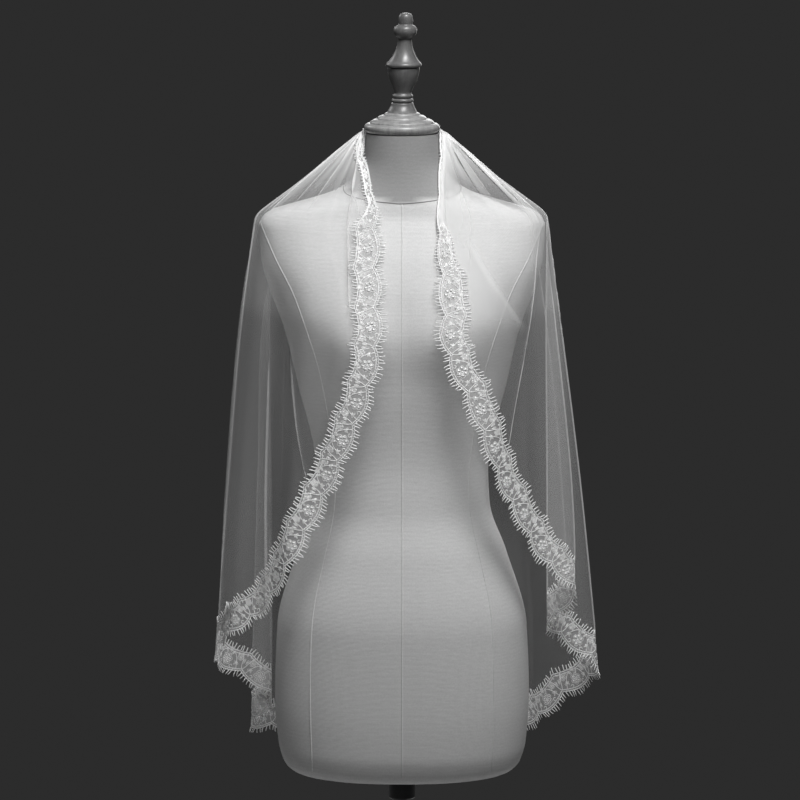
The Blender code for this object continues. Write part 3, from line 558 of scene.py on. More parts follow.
def turned_wood():
    """Close-grained wood: long grain along Z, darker pores, painted shade that darkens the finial, and a thin clear
    wax.
    """
    made, shader, nodes, links = plain_finish("turned_wood", (0.4, 0.4, 0.4, 1), 0.5)
    shader.inputs["Coat Weight"].default_value = 0.5
    shader.inputs["Coat Roughness"].default_value = 0.28
    place = add_node(nodes, "ShaderNodeTexCoord")
    long_grain = add_node(nodes, "ShaderNodeMapping", inputs={"Scale": (170.0, 170.0, 16.0)})
    rings = add_node(nodes, "ShaderNodeTexNoise", inputs={"Scale": 1.0, "Detail": 5.0, "Roughness": 0.62})
    pores = add_node(nodes, "ShaderNodeMapping", inputs={"Scale": (900.0, 900.0, 70.0)})
    pits = add_node(nodes, "ShaderNodeTexNoise", inputs={"Scale": 1.0, "Detail": 2.0})
    shades = ramp_between(nodes, 0.32, 0.68, WOOD_DARK, WOOD_LIGHT)
    pit_shades = ramp_between(nodes, 0.30, 0.50, 0.78, 1.0)
    height = add_node(nodes, "ShaderNodeSeparateXYZ")
    # Painted shade: the wood turns darker above the top of the cap, over the whole finial
    painted_finial_shade = add_node(
        nodes,
        "ShaderNodeMapRange",
        inputs={"From Min": FINIAL_Z - 0.001, "From Max": FINIAL_Z + 0.003, "To Min": 1.0, "To Max": FINIAL_PAINTED_SHADE},
    )
    shaded = add_node(nodes, "ShaderNodeMix", data_type="RGBA", blend_type="MULTIPLY")
    shaded.inputs["Factor"].default_value = 1.0
    mixed = add_node(nodes, "ShaderNodeMix", data_type="RGBA", blend_type="MULTIPLY")
    mixed.inputs["Factor"].default_value = 1.0
    gloss = ramp_between(nodes, 0.3, 0.7, 0.55, 0.42)
    bump = add_node(nodes, "ShaderNodeBump", inputs={"Strength": 0.2, "Distance": 0.0003})
    links.new(place.outputs["Object"], long_grain.inputs["Vector"])
    links.new(place.outputs["Object"], pores.inputs["Vector"])
    links.new(long_grain.outputs["Vector"], rings.inputs["Vector"])
    links.new(pores.outputs["Vector"], pits.inputs["Vector"])
    links.new(rings.outputs["Fac"], shades.inputs["Fac"])
    links.new(pits.outputs["Fac"], pit_shades.inputs["Fac"])
    links.new(shades.outputs["Color"], mixed.inputs["A"])
    links.new(pit_shades.outputs["Color"], mixed.inputs["B"])
    links.new(place.outputs["Object"], height.inputs["Vector"])
    links.new(height.outputs["Z"], painted_finial_shade.inputs["Value"])
    links.new(mixed.outputs["Result"], shaded.inputs["A"])
    links.new(painted_finial_shade.outputs["Result"], shaded.inputs["B"])
    links.new(shaded.outputs["Result"], shader.inputs["Base Color"])
    links.new(rings.outputs["Fac"], gloss.inputs["Fac"])
    links.new(gloss.outputs["Color"], shader.inputs["Roughness"])
    links.new(pits.outputs["Fac"], bump.inputs["Height"])
    links.new(bump.outputs["Normal"], shader.inputs["Normal"])
    return made


wood = turned_wood()
for name, profile, foot, lean, node, samples in (
    ("turned_neck_cap", CAP_PROFILE, CAP_Z, 0.0, "neck_cap", 90),
    ("turned_finial", FINIAL_PROFILE, FINIAL_Z, FINIAL_LEAN, "finial", 150),
):
    smooth_profile = rounded_path([(r, foot + h) for r, h in profile], samples)
    piece = turned(name, [tuple(point) for point in smooth_profile], 72, lean)
    piece.data.materials.append(wood)
    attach(piece, "root")
    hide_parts(node)


# Tulle panel
# One wide piece of fine nylon net with rounded fronts, gathered round the neck and left to fall over the shoulders.
# Its shape is worked out from fall lines, which run from the neck to the hem, numbered from the left front edge.
CLEAR_OF_FORM = 0.0016
PUSH_SOFTNESS = 0.0020
STEEPEST_SLANT = 5.0
NECK_Z = 1.3405
TIP_Z = 1.2380
BUST_Z = 1.1150
WAIST_Z = 0.9120
HEM_Z = 0.7000
NECK_RING = 0.0458
NECK_FADE = 0.030
TIP_ROUNDING = 0.0060
FALL_COLUMNS = (
    "neck_angle", "tip_x", "tip_y", "bust_x", "bust_y", "waist_x", "waist_y", "hem_x", "hem_y", "end_z",
)
FALL_LINES = (
    (-92, -0.0265, -0.066, -0.0225, -0.121, -0.024, -0.122, -0.024, -0.124, 1.110),
    (-97, -0.062, -0.064, -0.060, -0.119, -0.068, -0.119, -0.075, -0.121, 0.961),
    (-103, -0.096, -0.062, -0.092, -0.112, -0.104, -0.113, -0.112, -0.113, 0.879),
    (-109, -0.128, -0.052, -0.126, -0.094, -0.142, -0.095, -0.152, -0.093, 0.795),
    (-115, -0.155, -0.030, -0.160, -0.062, -0.178, -0.066, -0.188, -0.064, 0.750),
    (-121, -0.168, -0.012, -0.184, -0.032, -0.200, -0.034, -0.212, -0.032, 0.732),
    (-127, -0.1735, 0.006, -0.193, 0.000, -0.211, 0.005, -0.226, 0.008, 0.702),
    (-134, -0.167, 0.026, -0.186, 0.036, -0.203, 0.044, -0.212, 0.050, 0.674),
    (-141, -0.151, 0.046, -0.160, 0.066, -0.160, 0.072, -0.160, 0.074, 0.631),
    (-148, -0.138, 0.060, -0.166, 0.084, -0.175, 0.095, -0.182, 0.099, 0.592),
    (-155, -0.120, 0.072, -0.144, 0.101, -0.151, 0.114, -0.156, 0.122, 0.582),
    (-163, -0.096, 0.080, -0.108, 0.110, -0.109, 0.125, -0.108, 0.135, 0.573),
    (-171, -0.050, 0.087, -0.055, 0.117, -0.055, 0.132, -0.054, 0.145, 0.567),
    (-180, 0.000, 0.087, 0.000, 0.116, 0.000, 0.131, 0.000, 0.144, 0.565),
    (-189, 0.050, 0.087, 0.055, 0.117, 0.055, 0.133, 0.055, 0.147, 0.568),
    (-197, 0.096, 0.080, 0.108, 0.110, 0.109, 0.126, 0.109, 0.137, 0.576),
    (-205, 0.126, 0.066, 0.145, 0.093, 0.152, 0.109, 0.157, 0.118, 0.590),
    (-212, 0.152, 0.043, 0.168, 0.064, 0.187, 0.080, 0.198, 0.086, 0.633),
    (-219, 0.1715, 0.018, 0.188, 0.026, 0.214, 0.038, 0.236, 0.044, 0.672),
    (-226, 0.1725, 0.009, 0.182, 0.014, 0.195, 0.020, 0.204, 0.024, 0.706),
    (-232, 0.1725, 0.001, 0.172, 0.003, 0.174, 0.005, 0.175, 0.006, 0.733),
    (-238, 0.1705, -0.007, 0.177, -0.010, 0.189, -0.014, 0.192, -0.016, 0.755),
    (-244, 0.1680, -0.015, 0.181, -0.022, 0.202, -0.030, 0.210, -0.034, 0.785),
    (-250, 0.1620, -0.024, 0.166, -0.050, 0.172, -0.058, 0.178, -0.060, 0.820),
    (-256, 0.1520, -0.036, 0.148, -0.076, 0.133, -0.084, 0.126, -0.086, 0.889),
    (-261, 0.124, -0.054, 0.118, -0.099, 0.112, -0.101, 0.108, -0.101, 0.929),
    (-266, 0.086, -0.064, 0.082, -0.114, 0.082, -0.115, 0.082, -0.115, 1.012),
    (-272, 0.041, -0.067, 0.043, -0.120, 0.046, -0.121, 0.046, -0.121, 1.110),
)
LAST_LINE = len(FALL_LINES) - 1

# Soft folds along the fall lines: line, half width in lines, then height outwards at five levels
FOLD_COLUMNS = ("line", "half_width", "yoke", "tip", "bust", "waist", "hem")
FOLDS = (
    (1.0, 0.42, 0.0050, 0.0045, 0.0020, 0.0000, 0.0000),
    (1.9, 0.40, 0.0000, 0.0000, -0.0030, -0.0050, -0.0060),
    (2.6, 0.38, 0.0000, 0.0000, 0.0040, 0.0070, 0.0080),
    (3.7, 0.40, 0.0020, 0.0000, -0.0030, -0.0050, -0.0050),
    (4.5, 0.40, 0.0050, 0.0015, 0.0040, 0.0060, 0.0070),
    (5.5, 0.32, -0.0030, 0.0000, -0.0030, -0.0050, -0.0050),
    (7.1, 0.40, 0.0050, 0.0015, 0.0040, 0.0060, 0.0070),
    (10.6, 0.45, -0.0030, 0.0000, -0.0030, -0.0050, -0.0060),
    (11.4, 0.42, 0.0030, 0.0010, 0.0050, 0.0110, 0.0160),
    (12.1, 0.36, -0.0020, 0.0000, -0.0010, -0.0050, -0.0080),
    (12.8, 0.40, 0.0030, 0.0010, 0.0050, 0.0100, 0.0150),
    (13.5, 0.36, -0.0020, 0.0000, -0.0010, -0.0060, -0.0100),
    (14.2, 0.40, 0.0030, 0.0010, 0.0050, 0.0120, 0.0180),
    (15.0, 0.40, -0.0030, 0.0000, -0.0020, -0.0060, -0.0090),
    (15.7, 0.40, 0.0030, 0.0010, 0.0040, 0.0080, 0.0110),
    (17.2, 0.40, 0.0040, 0.0015, 0.0040, 0.0060, 0.0060),
    (23.2, 0.36, 0.0040, 0.0010, -0.0030, -0.0050, -0.0050),
    (25.3, 0.40, 0.0030, 0.0020, 0.0040, 0.0040, 0.0000),
)

# Narrow creases, in which the net doubles back on itself: where each starts and ends, how wide it is, how far
# it doubles back, as a share of its width, how far it stands out, how much denser the net is along it, partly for
# its doubled layers and partly a painted glint for the fold seen edge-on, how it bows, and how much denser the net is
# on its front side
CREASE_COLUMNS = (
    "top_line", "bottom_line", "top_z", "bottom_z", "width", "tuck", "depth", "density_and_glint", "bow", "beyond"
)
CREASES = (
    (1.05, 1.05, 1.338, 1.120, 0.0050, 0.55, 0.0016, 2.2, 1.0, 0.0),
    (0.55, 0.70, 1.338, 1.225, 0.0030, 0.30, 0.0008, 1.5, 1.0, 0.0),
    (1.35, 0.60, 1.310, 1.235, 0.0030, 0.30, 0.0008, 2.5, 1.0, 0.0),
    (2.00, 1.05, 1.235, 1.115, 0.0120, 0.00, 0.0000, 0.8, 1.0, 0.5),
    (3.25, 2.05, 1.105, 0.900, 0.0055, 0.50, 0.0016, 0.4, 1.0, 0.0),
    (3.95, 3.20, 1.120, 0.700, 0.0060, 0.56, 0.0018, 0.6, 1.0, 0.0),
    (2.60, 2.70, 1.338, 1.246, 0.0035, 0.50, 0.0012, 2.0, 1.0, 0.0),
    (3.60, 3.50, 1.338, 1.250, 0.0030, 0.50, 0.0012, 1.5, 1.0, 0.0),
    (4.40, 4.45, 1.338, 1.236, 0.0045, 0.55, 0.0014, 2.5, 1.0, 0.0),
    (4.95, 5.00, 1.338, 1.236, 0.0030, 0.50, 0.0012, 2.0, 1.0, 0.0),
    (5.60, 5.85, 1.338, 0.780, 0.0050, 0.55, 0.0016, 0.8, 1.0, 0.0),
    (6.30, 6.60, 1.250, 0.720, 0.0050, 0.50, 0.0016, 0.6, 1.0, 0.0),
    (7.90, 8.05, 1.338, 0.650, 0.0060, 0.56, 0.0018, 0.6, 1.0, 0.0),
    (9.05, 9.10, 1.338, 0.620, 0.0050, 0.52, 0.0016, 1.6, 1.0, 0.0),
    (10.30, 10.05, 1.338, 0.800, 0.0060, 0.50, 0.0018, 1.2, 1.0, 0.0),
    (11.50, 11.40, 1.338, 0.590, 0.0055, 0.56, 0.0018, 1.6, 1.0, 0.0),
    (12.30, 12.60, 1.300, 0.760, 0.0050, 0.50, 0.0014, 1.0, 1.0, 0.0),
    (13.40, 13.30, 1.338, 0.600, 0.0065, 0.55, 0.0018, 1.6, 1.0, 0.0),
    (14.55, 14.40, 1.338, 0.690, 0.0050, 0.52, 0.0016, 1.2, 1.0, 0.0),
    (15.80, 16.05, 1.338, 0.620, 0.0060, 0.15, 0.0018, 0.0, 1.0, 0.0),
    (17.00, 17.10, 1.300, 0.660, 0.0050, 0.50, 0.0016, 0.9, 1.0, 0.0),
    (18.05, 18.00, 1.338, 0.690, 0.0045, 0.50, 0.0014, 4.0, 1.0, 0.0),
    (20.05, 20.00, 1.250, 0.745, 0.0050, 0.50, 0.0014, 4.0, 1.0, 0.0),
    (21.95, 22.00, 1.200, 0.800, 0.0050, 0.50, 0.0014, 4.0, 1.0, 0.0),
    (22.50, 24.60, 1.238, 0.940, 0.0055, 0.60, 0.0020, 4.5, 0.45, 0.0),
    (24.00, 24.62, 1.090, 0.960, 0.0032, 0.50, 0.0012, 1.6, 0.8, 0.0),
    (22.40, 22.30, 1.338, 1.243, 0.0050, 0.50, 0.0014, 4.0, 1.0, 0.0),
    (23.00, 22.90, 1.338, 1.243, 0.0060, 0.55, 0.0018, 4.0, 1.0, 0.0),
    (23.70, 23.60, 1.338, 1.246, 0.0028, 0.50, 0.0012, 1.5, 1.0, 0.0),
    (24.20, 24.10, 1.338, 1.250, 0.0055, 0.55, 0.0018, 4.0, 1.0, 0.0),
    (25.00, 25.00, 1.338, 1.262, 0.0060, 0.55, 0.0018, 3.5, 1.0, 0.0),
    (25.60, 25.40, 1.338, 1.262, 0.0028, 0.50, 0.0012, 1.5, 1.0, 0.0),
    (26.30, 24.00, 1.235, 1.105, 0.0150, 0.00, 0.0000, 2.0, 1.5, 1.2),
    (26.05, 26.10, 1.338, 1.180, 0.0035, 0.30, 0.0008, 2.0, 1.0, 0.0),
    (26.72, 26.66, 1.338, 1.205, 0.0035, 0.30, 0.0008, 1.5, 1.0, 0.0),
)
CREASE_FADE = 0.030
NECK_FADE_SHARE = 0.3
TOP_FADE_SHARE = 3.0
LONG_CREASE = 0.30
GLINT_SHARE = 0.30
NET_COVER = 0.122
LAPEL_DENSITY = (0.2, 3.0)
LAPEL_WIDTH = 0.80
YOKE_DENSITY = (0.05, 0.55)
GATHERS = 84
GATHER_WIDTH = (0.10, 0.24)
GATHER_HEIGHT = (0.0004, 0.0014)
GATHER_FALL = (0.030, 0.130)
GATHER_SEED = 11

# Lace edging's measures, which the tulle's cut edge follows
SCALLOP = 0.0495
SCALLOP_DEPTH = 0.0070
HEADING_SPREAD = 0.020

# How many scallops have gone by at each distance along the edge, in metres
SCALLOP_COUNT = ((0.0, -0.77), (0.4273, 8.0), (0.977, 19.5), (1.9874, 39.5), (2.36, 46.88))

# Near the neck each front is turned back like a lapel, which folds the lace narrow: height, share of its width
LEFT_LAPEL = ((1.345, 0.22), (1.258, 0.26), (1.238, 0.80), (1.205, 1.0))
RIGHT_LAPEL = ((1.345, 0.16), (1.238, 0.20), (1.214, 0.52), (1.190, 0.64), (1.160, 1.0))
EDGE_INSET = 0.0012
FRONT_EDGE_ROWS = (NECK_Z, 1.30, 1.26, 1.22, 1.17, 1.13)
LINE_SPACING = 0.040
CORNER_Z = 1.070
EDGE_SAMPLES = 2400
TULLE_COLUMNS = 640
CREASE_PULL = 2.6
CREASE_REACH = 0.16
UPPER_STEPS = 84
LOWER_STEPS = 66


def form_radius(x, y, z):
    """Distance from the axis to the form's surface, in the direction of (x, y), at height z."""
    n = form_size("squareness", z)
    half_depth = np.where(y > 0, form_size("back", z), form_size("front", z) + bust_rise(x, z))
    level = (np.abs(x) / form_size("half_width", z)) ** n + (np.abs(y) / half_depth) ** n
    return np.hypot(x, y) * np.maximum(level, 1e-9) ** (-1 / n)


def below_neck(z):
    """0 at the neck ring, rising to 1 a little way below it."""
    return np.clip((NECK_Z - z) / NECK_FADE, 0.0, 1.0)


def pushed_clear(x, y, z):
    """Moves plan points outwards until the cloth lies clear of the form."""
    surface = form_radius(x, y, z)
    step = 0.003
    lean = (form_radius(x, y, z - step) - form_radius(x, y, z + step)) / (2 * step)
    slant = np.minimum(np.hypot(1.0, lean), STEEPEST_SLANT)
    wanted = surface + CLEAR_OF_FORM * below_neck(z) * slant
    softness = PUSH_SOFTNESS * below_neck(z) + 1e-6
    radius = np.maximum(np.hypot(x, y), 1e-6)
    moved = 0.5 * (radius + wanted + np.hypot(radius - wanted, softness))
    moved = np.where(z > CAP_Z, radius, moved)
    return x * moved / radius, y * moved / radius


def lines_at(index, z):
    """Plan position of the numbered fall lines at heights z."""
    table = np.array(FALL_LINES)
    angle = np.radians(table[:, FALL_COLUMNS.index("neck_angle")])
    neck = np.stack((NECK_RING * np.sin(angle), -NECK_RING * np.cos(angle)), axis=1)
    first = [FALL_COLUMNS.index(level + "_x") for level in ("hem", "waist", "bust", "tip")]
    levels = np.stack([table[:, k : k + 2] for k in first], axis=1)
    heights = np.array((HEM_Z, WAIST_Z, BUST_Z, TIP_Z))
    spans = np.diff(heights)
    slopes = np.diff(levels, axis=1) / spans[None, :, None]
    tangents = np.concatenate(
        (slopes[:, :1], 0.5 * (slopes[:, :-1] + slopes[:, 1:]), slopes[:, -1:]), axis=1
    )
    total = 0.0
    shifts = (-1.0, -0.5, 0.0, 0.5, 1.0)
    for shift in shifts:
        level = z + shift * TIP_ROUNDING * below_neck(z)
        k = np.clip(np.searchsorted(heights, level) - 1, 0, len(spans) - 1)
        t = ((np.clip(level, HEM_Z, TIP_Z) - heights[k]) / spans[k])[..., None]
        width = spans[k][..., None]
        below = (
            levels[index, k] * (2 * t**3 - 3 * t**2 + 1)
            + levels[index, k + 1] * (3 * t**2 - 2 * t**3)
            + width * tangents[index, k] * (t**3 - 2 * t**2 + t)
            + width * tangents[index, k + 1] * (t**3 - t**2)
        )
        past_hem = np.minimum(level - HEM_Z, 0.0)[..., None]
        below = below + tangents[index, 0] * past_hem
        up = np.clip((level - TIP_Z) / (NECK_Z - TIP_Z), 0.0, 1.0)[..., None]
        total = total + below * (1 - up) + neck[index] * up
    return total / len(shifts)


def sheet_plan(line, z):
    """Plan position on the sheet between fall lines, before its folds."""
    line = np.clip(line, 0.0, LAST_LINE)
    i = np.clip(np.floor(line).astype(int), 0, LAST_LINE - 1)
    t = (line - i)[..., None]
    a, b, c, d = [lines_at(np.clip(i + k, 0, LAST_LINE), z) for k in (-1, 0, 1, 2)]
    return 0.5 * (
        2 * b + (c - a) * t + (2 * a - 5 * b + 4 * c - d) * t**2 + (3 * b - a - 3 * c + d) * t**3
    )


def fold_height(line, z):
    """How far the soft folds stand out from the sheet."""
    levels = (HEM_Z, WAIST_Z, BUST_Z, TIP_Z, 0.5 * (TIP_Z + NECK_Z), NECK_Z)
    total = np.zeros(np.broadcast(line, z).shape)
    for row in FOLDS:
        fold = dict(zip(FOLD_COLUMNS, row))
        heights = [fold[k] for k in ("hem", "waist", "bust", "tip", "yoke")] + [0.0]
        total = total + monotone(levels, heights, z) * np.exp(-(((line - fold["line"]) / fold["half_width"]) ** 2))
    return total


def smooth_step(low, high, at):
    """0 below `low`, 1 above `high`, and a smooth rise between."""
    share = np.clip((at - low) / (high - low), 0.0, 1.0)
    return share**2 * (3 - 2 * share)


def crease_moves(line, z, spacing):
    """How far the creases move the cloth along the sheet and out from it, and how much denser they make it, with a
    painted glint along each fold.
    """
    along = np.zeros(line.shape)
    out = np.zeros(line.shape)
    density_and_glint = np.zeros(line.shape)
    for row in CREASES:
        crease = dict(zip(CREASE_COLUMNS, row))
        length = crease["top_z"] - crease["bottom_z"]
        share = np.clip((crease["top_z"] - z) / length, 0.0, 1.0) ** crease["bow"]
        centre = crease["top_line"] * (1 - share) + crease["bottom_line"] * share
        fade = CREASE_FADE * min(1.0, length / LONG_CREASE)
        top_fade = fade * (NECK_FADE_SHARE if crease["top_z"] > CAP_Z else TOP_FADE_SHARE)
        fades = smooth_step(crease["bottom_z"], crease["bottom_z"] + 1.5 * fade, z)
        fades = fades * (1 - smooth_step(crease["top_z"] - top_fade, crease["top_z"], z))
        away = (line - centre) * spacing
        t = np.clip(away / crease["width"], -1.0, 1.0)
        wave = np.sin(math.pi * t)
        along -= crease["tuck"] * crease["width"] * fades * wave
        out += crease["depth"] * fades * np.cos(math.pi * t / 2) ** 2 * (1 - wave)
        glint_width = GLINT_SHARE * crease["width"]
        # Painted glint: a bright line of denser net along the fold, for the brightness a fold shows seen edge-on
        density_and_glint += crease["density_and_glint"] * fades * np.exp(-((away / glint_width) ** 2))
        density_and_glint += crease["beyond"] * fades * smooth_step(0.0, 2 * glint_width, away)
    return along, out, density_and_glint


def gather_height(line, z):
    """Small uneven gathers that fan out from the neck."""
    chance = np.random.default_rng(GATHER_SEED)
    total = np.zeros(line.shape)
    for k in range(GATHERS):
        centre = (k + chance.uniform(0.1, 0.9)) * LAST_LINE / GATHERS
        width = chance.uniform(*GATHER_WIDTH)
        height = chance.uniform(*GATHER_HEIGHT)
        fall = chance.uniform(*GATHER_FALL)
        fades = below_neck(z) * np.exp(-(((NECK_Z - z) / fall) ** 2))
        total += height * fades * np.exp(-(((line - centre) / width) ** 2))
    return total


def sheet(line, z, fine=False):
    """Points on the veil at fall-line number `line` and height z. The creases are left out unless fine."""
    line, z = np.broadcast_arrays(np.asarray(line, float), np.asarray(z, float))
    here = sheet_plan(line, z)
    step = 0.02
    along = sheet_plan(line + step, z) - sheet_plan(line - step, z)
    length = np.maximum(np.linalg.norm(along, axis=-1, keepdims=True), 1e-9)
    along = along / length
    height = fold_height(line, z)
    if fine:
        slide, out, _ = crease_moves(line, z, length[..., 0] / (2 * step))
        here = here + along * slide[..., None]
        height = height + out + gather_height(line, z)
    x = here[..., 0] - along[..., 1] * height
    y = here[..., 1] + along[..., 0] * height
    x, y = pushed_clear(x, y, z)
    return np.stack((x, y, z), axis=-1)


def sheet_slopes(line, z):
    """Change of the sheet's points along the line number and along the height."""
    step_line, step_z = 0.01, 0.001
    by_line = (sheet(line + step_line, z) - sheet(line - step_line, z)) / (2 * step_line)
    at_ends = np.where((line <= step_line) | (line >= LAST_LINE - step_line), 2.0, 1.0)
    by_z = (sheet(line, z + step_z) - sheet(line, z - step_z)) / (2 * step_z)
    return by_line * at_ends[..., None], by_z


def edge_curve():
    """The cut edge, down the left front, along the hem and up the right front.

    Returns line number, height, distance run and unit direction, at close steps."""
    ends = [row[FALL_COLUMNS.index("end_z")] for row in FALL_LINES]
    left = [(0.0, z) for z in FRONT_EDGE_ROWS]
    right = [(LAST_LINE * LINE_SPACING, z) for _, z in reversed(left)]
    hem = [(i * LINE_SPACING, z) for i, z in enumerate(ends)]
    path = rounded_path(left + hem + right, EDGE_SAMPLES)
    line = np.clip(path[:, 0] / LINE_SPACING, 0.0, LAST_LINE)
    z = np.minimum(path[:, 1], NECK_Z)
    points = sheet(line, z)
    run = np.concatenate(([0.0], np.cumsum(np.linalg.norm(np.diff(points, axis=0), axis=1))))
    return line, z, run, unit(np.gradient(points, axis=0))


def inwards(line, z, along, distances):
    """Walks from edge points across the sheet, square to the edge. Returns line and height at each distance."""
    step = 0.003
    lines, heights = [], []
    heading = None
    walked = 0.0
    line, z = line.copy(), z.copy()
    for target in distances:
        while walked < target - 1e-9:
            stride = min(step, target - walked)
            by_line, by_z = sheet_slopes(line, z)
            normal = unit(np.cross(by_z, by_line))
            if heading is None:
                heading = unit(np.cross(along, normal))
            heading = unit(heading - normal * np.sum(heading * normal, axis=-1, keepdims=True))
            g11 = np.sum(by_line * by_line, axis=-1)
            g12 = np.sum(by_line * by_z, axis=-1)
            g22 = np.sum(by_z * by_z, axis=-1)
            h1 = np.sum(heading * by_line, axis=-1)
            h2 = np.sum(heading * by_z, axis=-1)
            area = np.maximum(g11 * g22 - g12 * g12, 1e-12)
            line = np.clip(line + stride * (h1 * g22 - h2 * g12) / area, 0.0, LAST_LINE)
            z = np.minimum(z + stride * (h2 * g11 - h1 * g12) / area, NECK_Z)
            walked += stride
        lines.append(line.copy())
        heights.append(z.copy())
    return np.array(lines), np.array(heights)


def lapel_share(line, z):
    """How much of its width the lace shows at this place on the edge."""
    left, right = np.array(LEFT_LAPEL), np.array(RIGHT_LAPEL)
    on_left = np.interp(-z, -left[:, 0], left[:, 1])
    on_right = np.interp(-z, -right[:, 0], right[:, 1])
    return np.where(line < LAST_LINE / 2, on_left, on_right)


def net_cover(line, z):
    """The share of each place that the net's threads cover: more where it is gathered, turned back or creased, and a
    painted glint along the creases.
    """
    step = 0.02
    spacing = np.linalg.norm(sheet_plan(line + step, z) - sheet_plan(line - step, z), axis=-1)
    flat = np.linalg.norm(sheet_plan(line + step, WAIST_Z) - sheet_plan(line - step, WAIST_Z), axis=-1)
    gathered = np.clip(flat / np.maximum(spacing, 1e-6), 1.0, 9.0)
    streaks = 1 + gather_height(line, z) / GATHER_HEIGHT[1]
    _, _, creases_and_glints = crease_moves(line, z, spacing / (2 * step))
    yoke_density = np.where(line < LAST_LINE / 2, *YOKE_DENSITY)
    gathered = gathered * (1 + yoke_density * smooth_step(TIP_Z, 1.30, z))
    turned_back = smooth_step(1.20, 1.245, z) * np.exp(-((np.minimum(line, LAST_LINE - line) / LAPEL_WIDTH) ** 4))
    turned_back = turned_back * np.where(line < LAST_LINE / 2, *LAPEL_DENSITY)
    layers = gathered * streaks + creases_and_glints + turned_back
    return 1 - (1 - NET_COVER) ** layers


def scallop_count(run):
    """How many scallops have gone by at this distance along the edge."""
    table = np.array(SCALLOP_COUNT)
    return np.interp(run, table[:, 0], table[:, 1])


def run_at(count):
    """The distance along the edge at which this many scallops have gone by."""
    table = np.array(SCALLOP_COUNT)
    return np.interp(count, table[:, 1], table[:, 0])


def scallop(run):
    """How far the lace's outer edge is drawn in at this distance along it."""
    return scallop_depth(scallop_count(run))


def scallop_depth(count):
    """The same at a number of scallops from the start."""
    return SCALLOP_DEPTH * (1 - np.abs(np.sin(math.pi * count)) ** 0.8)


def grid_piece(name, points, places, material, cover=None):
    """A single layer of cloth from a grid of points, with a UV map in metres and how much its net covers."""
    rows, columns = points.shape[:2]
    number = np.arange(rows * columns).reshape(rows, columns)
    corners = (number[:-1, :-1], number[:-1, 1:], number[1:, 1:], number[1:, :-1])
    faces = np.stack(corners, axis=-1).reshape(-1, 4)
    mesh = bpy.data.meshes.new(name)
    mesh.from_pydata(points.reshape(-1, 3).tolist(), [], faces.tolist())
    layer = mesh.uv_layers.new(name="net")
    layer.data.foreach_set("uv", places.reshape(-1, 2)[faces.ravel()].ravel())
    if cover is not None:
        shares = mesh.attributes.new("net_cover", "FLOAT", "POINT")
        shares.data.foreach_set("value", cover.ravel())
    mesh.shade_smooth()
    mesh.materials.append(material)
    piece = bpy.data.objects.new(name, mesh)
    bpy.context.scene.collection.objects.link(piece)
    return piece


def net_finish(name, shade, alpha, sheen, mesh_size):
    """Fine net: a thin see-through layer with the relief of its six-sided mesh and a soft sheen."""
    made, shader, nodes, links = plain_finish(name, (shade, shade, shade, 1), 0.75)
    if alpha is None:
        cover = add_node(nodes, "ShaderNodeAttribute", attribute_name="net_cover")
        links.new(cover.outputs["Fac"], shader.inputs["Alpha"])
    else:
        shader.inputs["Alpha"].default_value = alpha
    shader.inputs["Sheen Weight"].default_value = sheen
    shader.inputs["Sheen Roughness"].default_value = 0.35
    shader.inputs["Specular IOR Level"].default_value = 0.3
    net = add_node(nodes, "ShaderNodeUVMap", uv_map="net")
    cells = add_node(
        nodes,
        "ShaderNodeTexVoronoi",
        feature="DISTANCE_TO_EDGE",
        inputs={"Scale": 1.0 / mesh_size, "Randomness": 0.35},
    )
    threads = ramp_between(nodes, 0.0, 0.28, shade, shade * 0.95)
    bump = add_node(nodes, "ShaderNodeBump", invert=True, inputs={"Strength": 0.05, "Distance": 0.0002})
    links.new(net.outputs["UV"], cells.inputs["Vector"])
    links.new(cells.outputs["Distance"], threads.inputs["Fac"])
    links.new(threads.outputs["Color"], shader.inputs["Base Color"])
    links.new(cells.outputs["Distance"], bump.inputs["Height"])
    links.new(bump.outputs["Normal"], shader.inputs["Normal"])
    return made


def column_lines(first, last):
    """Fall-line numbers of the mesh's columns, closer together where a crease runs."""
    at = np.linspace(first, last, 6000)
    weight = np.ones(len(at))
    for row in CREASES:
        crease = dict(zip(CREASE_COLUMNS, row))
        low, high = sorted((crease["top_line"], crease["bottom_line"]))
        nearest = np.clip(at, low, high)
        weight += CREASE_PULL * np.exp(-(((at - nearest) / CREASE_REACH) ** 2))
    total = np.concatenate(([0.0], np.cumsum(0.5 * (weight[1:] + weight[:-1]))))
    return np.interp(np.linspace(0, total[-1], TULLE_COLUMNS), total, at)


edge_line, edge_z, edge_run, edge_along = edge_curve()
samples = np.arange(EDGE_SAMPLES, dtype=float)
spread = round(HEADING_SPREAD / (edge_run[-1] / EDGE_SAMPLES))
kernel = np.hanning(2 * spread + 1)
padded = np.pad(edge_along, ((spread, spread), (0, 0)), mode="edge")
edge_along = unit(np.stack([np.convolve(part, kernel / kernel.sum(), "valid") for part in padded.T], axis=1))
inset = scallop(edge_run) * lapel_share(edge_line, edge_z) + EDGE_INSET
inset_steps = np.linspace(0.0005, SCALLOP_DEPTH + EDGE_INSET, 6)
step_lines, step_heights = inwards(edge_line, edge_z, edge_along, inset_steps)
reach = (inset - inset_steps[0]) / (inset_steps[1] - inset_steps[0])
lower = np.clip(reach.astype(int), 0, len(inset_steps) - 2)
share = reach - lower
each = np.arange(EDGE_SAMPLES)
cut_line = step_lines[lower, each] * (1 - share) + step_lines[lower + 1, each] * share
cut_z = step_heights[lower, each] * (1 - share) + step_heights[lower + 1, each] * share
half = EDGE_SAMPLES // 2
left_corner = np.interp(-CORNER_Z, -cut_z[:half], samples[:half])
right_corner = np.interp(CORNER_Z, cut_z[half:], samples[half:])
rising_line = cut_line.copy()
from_corner = math.ceil(left_corner)
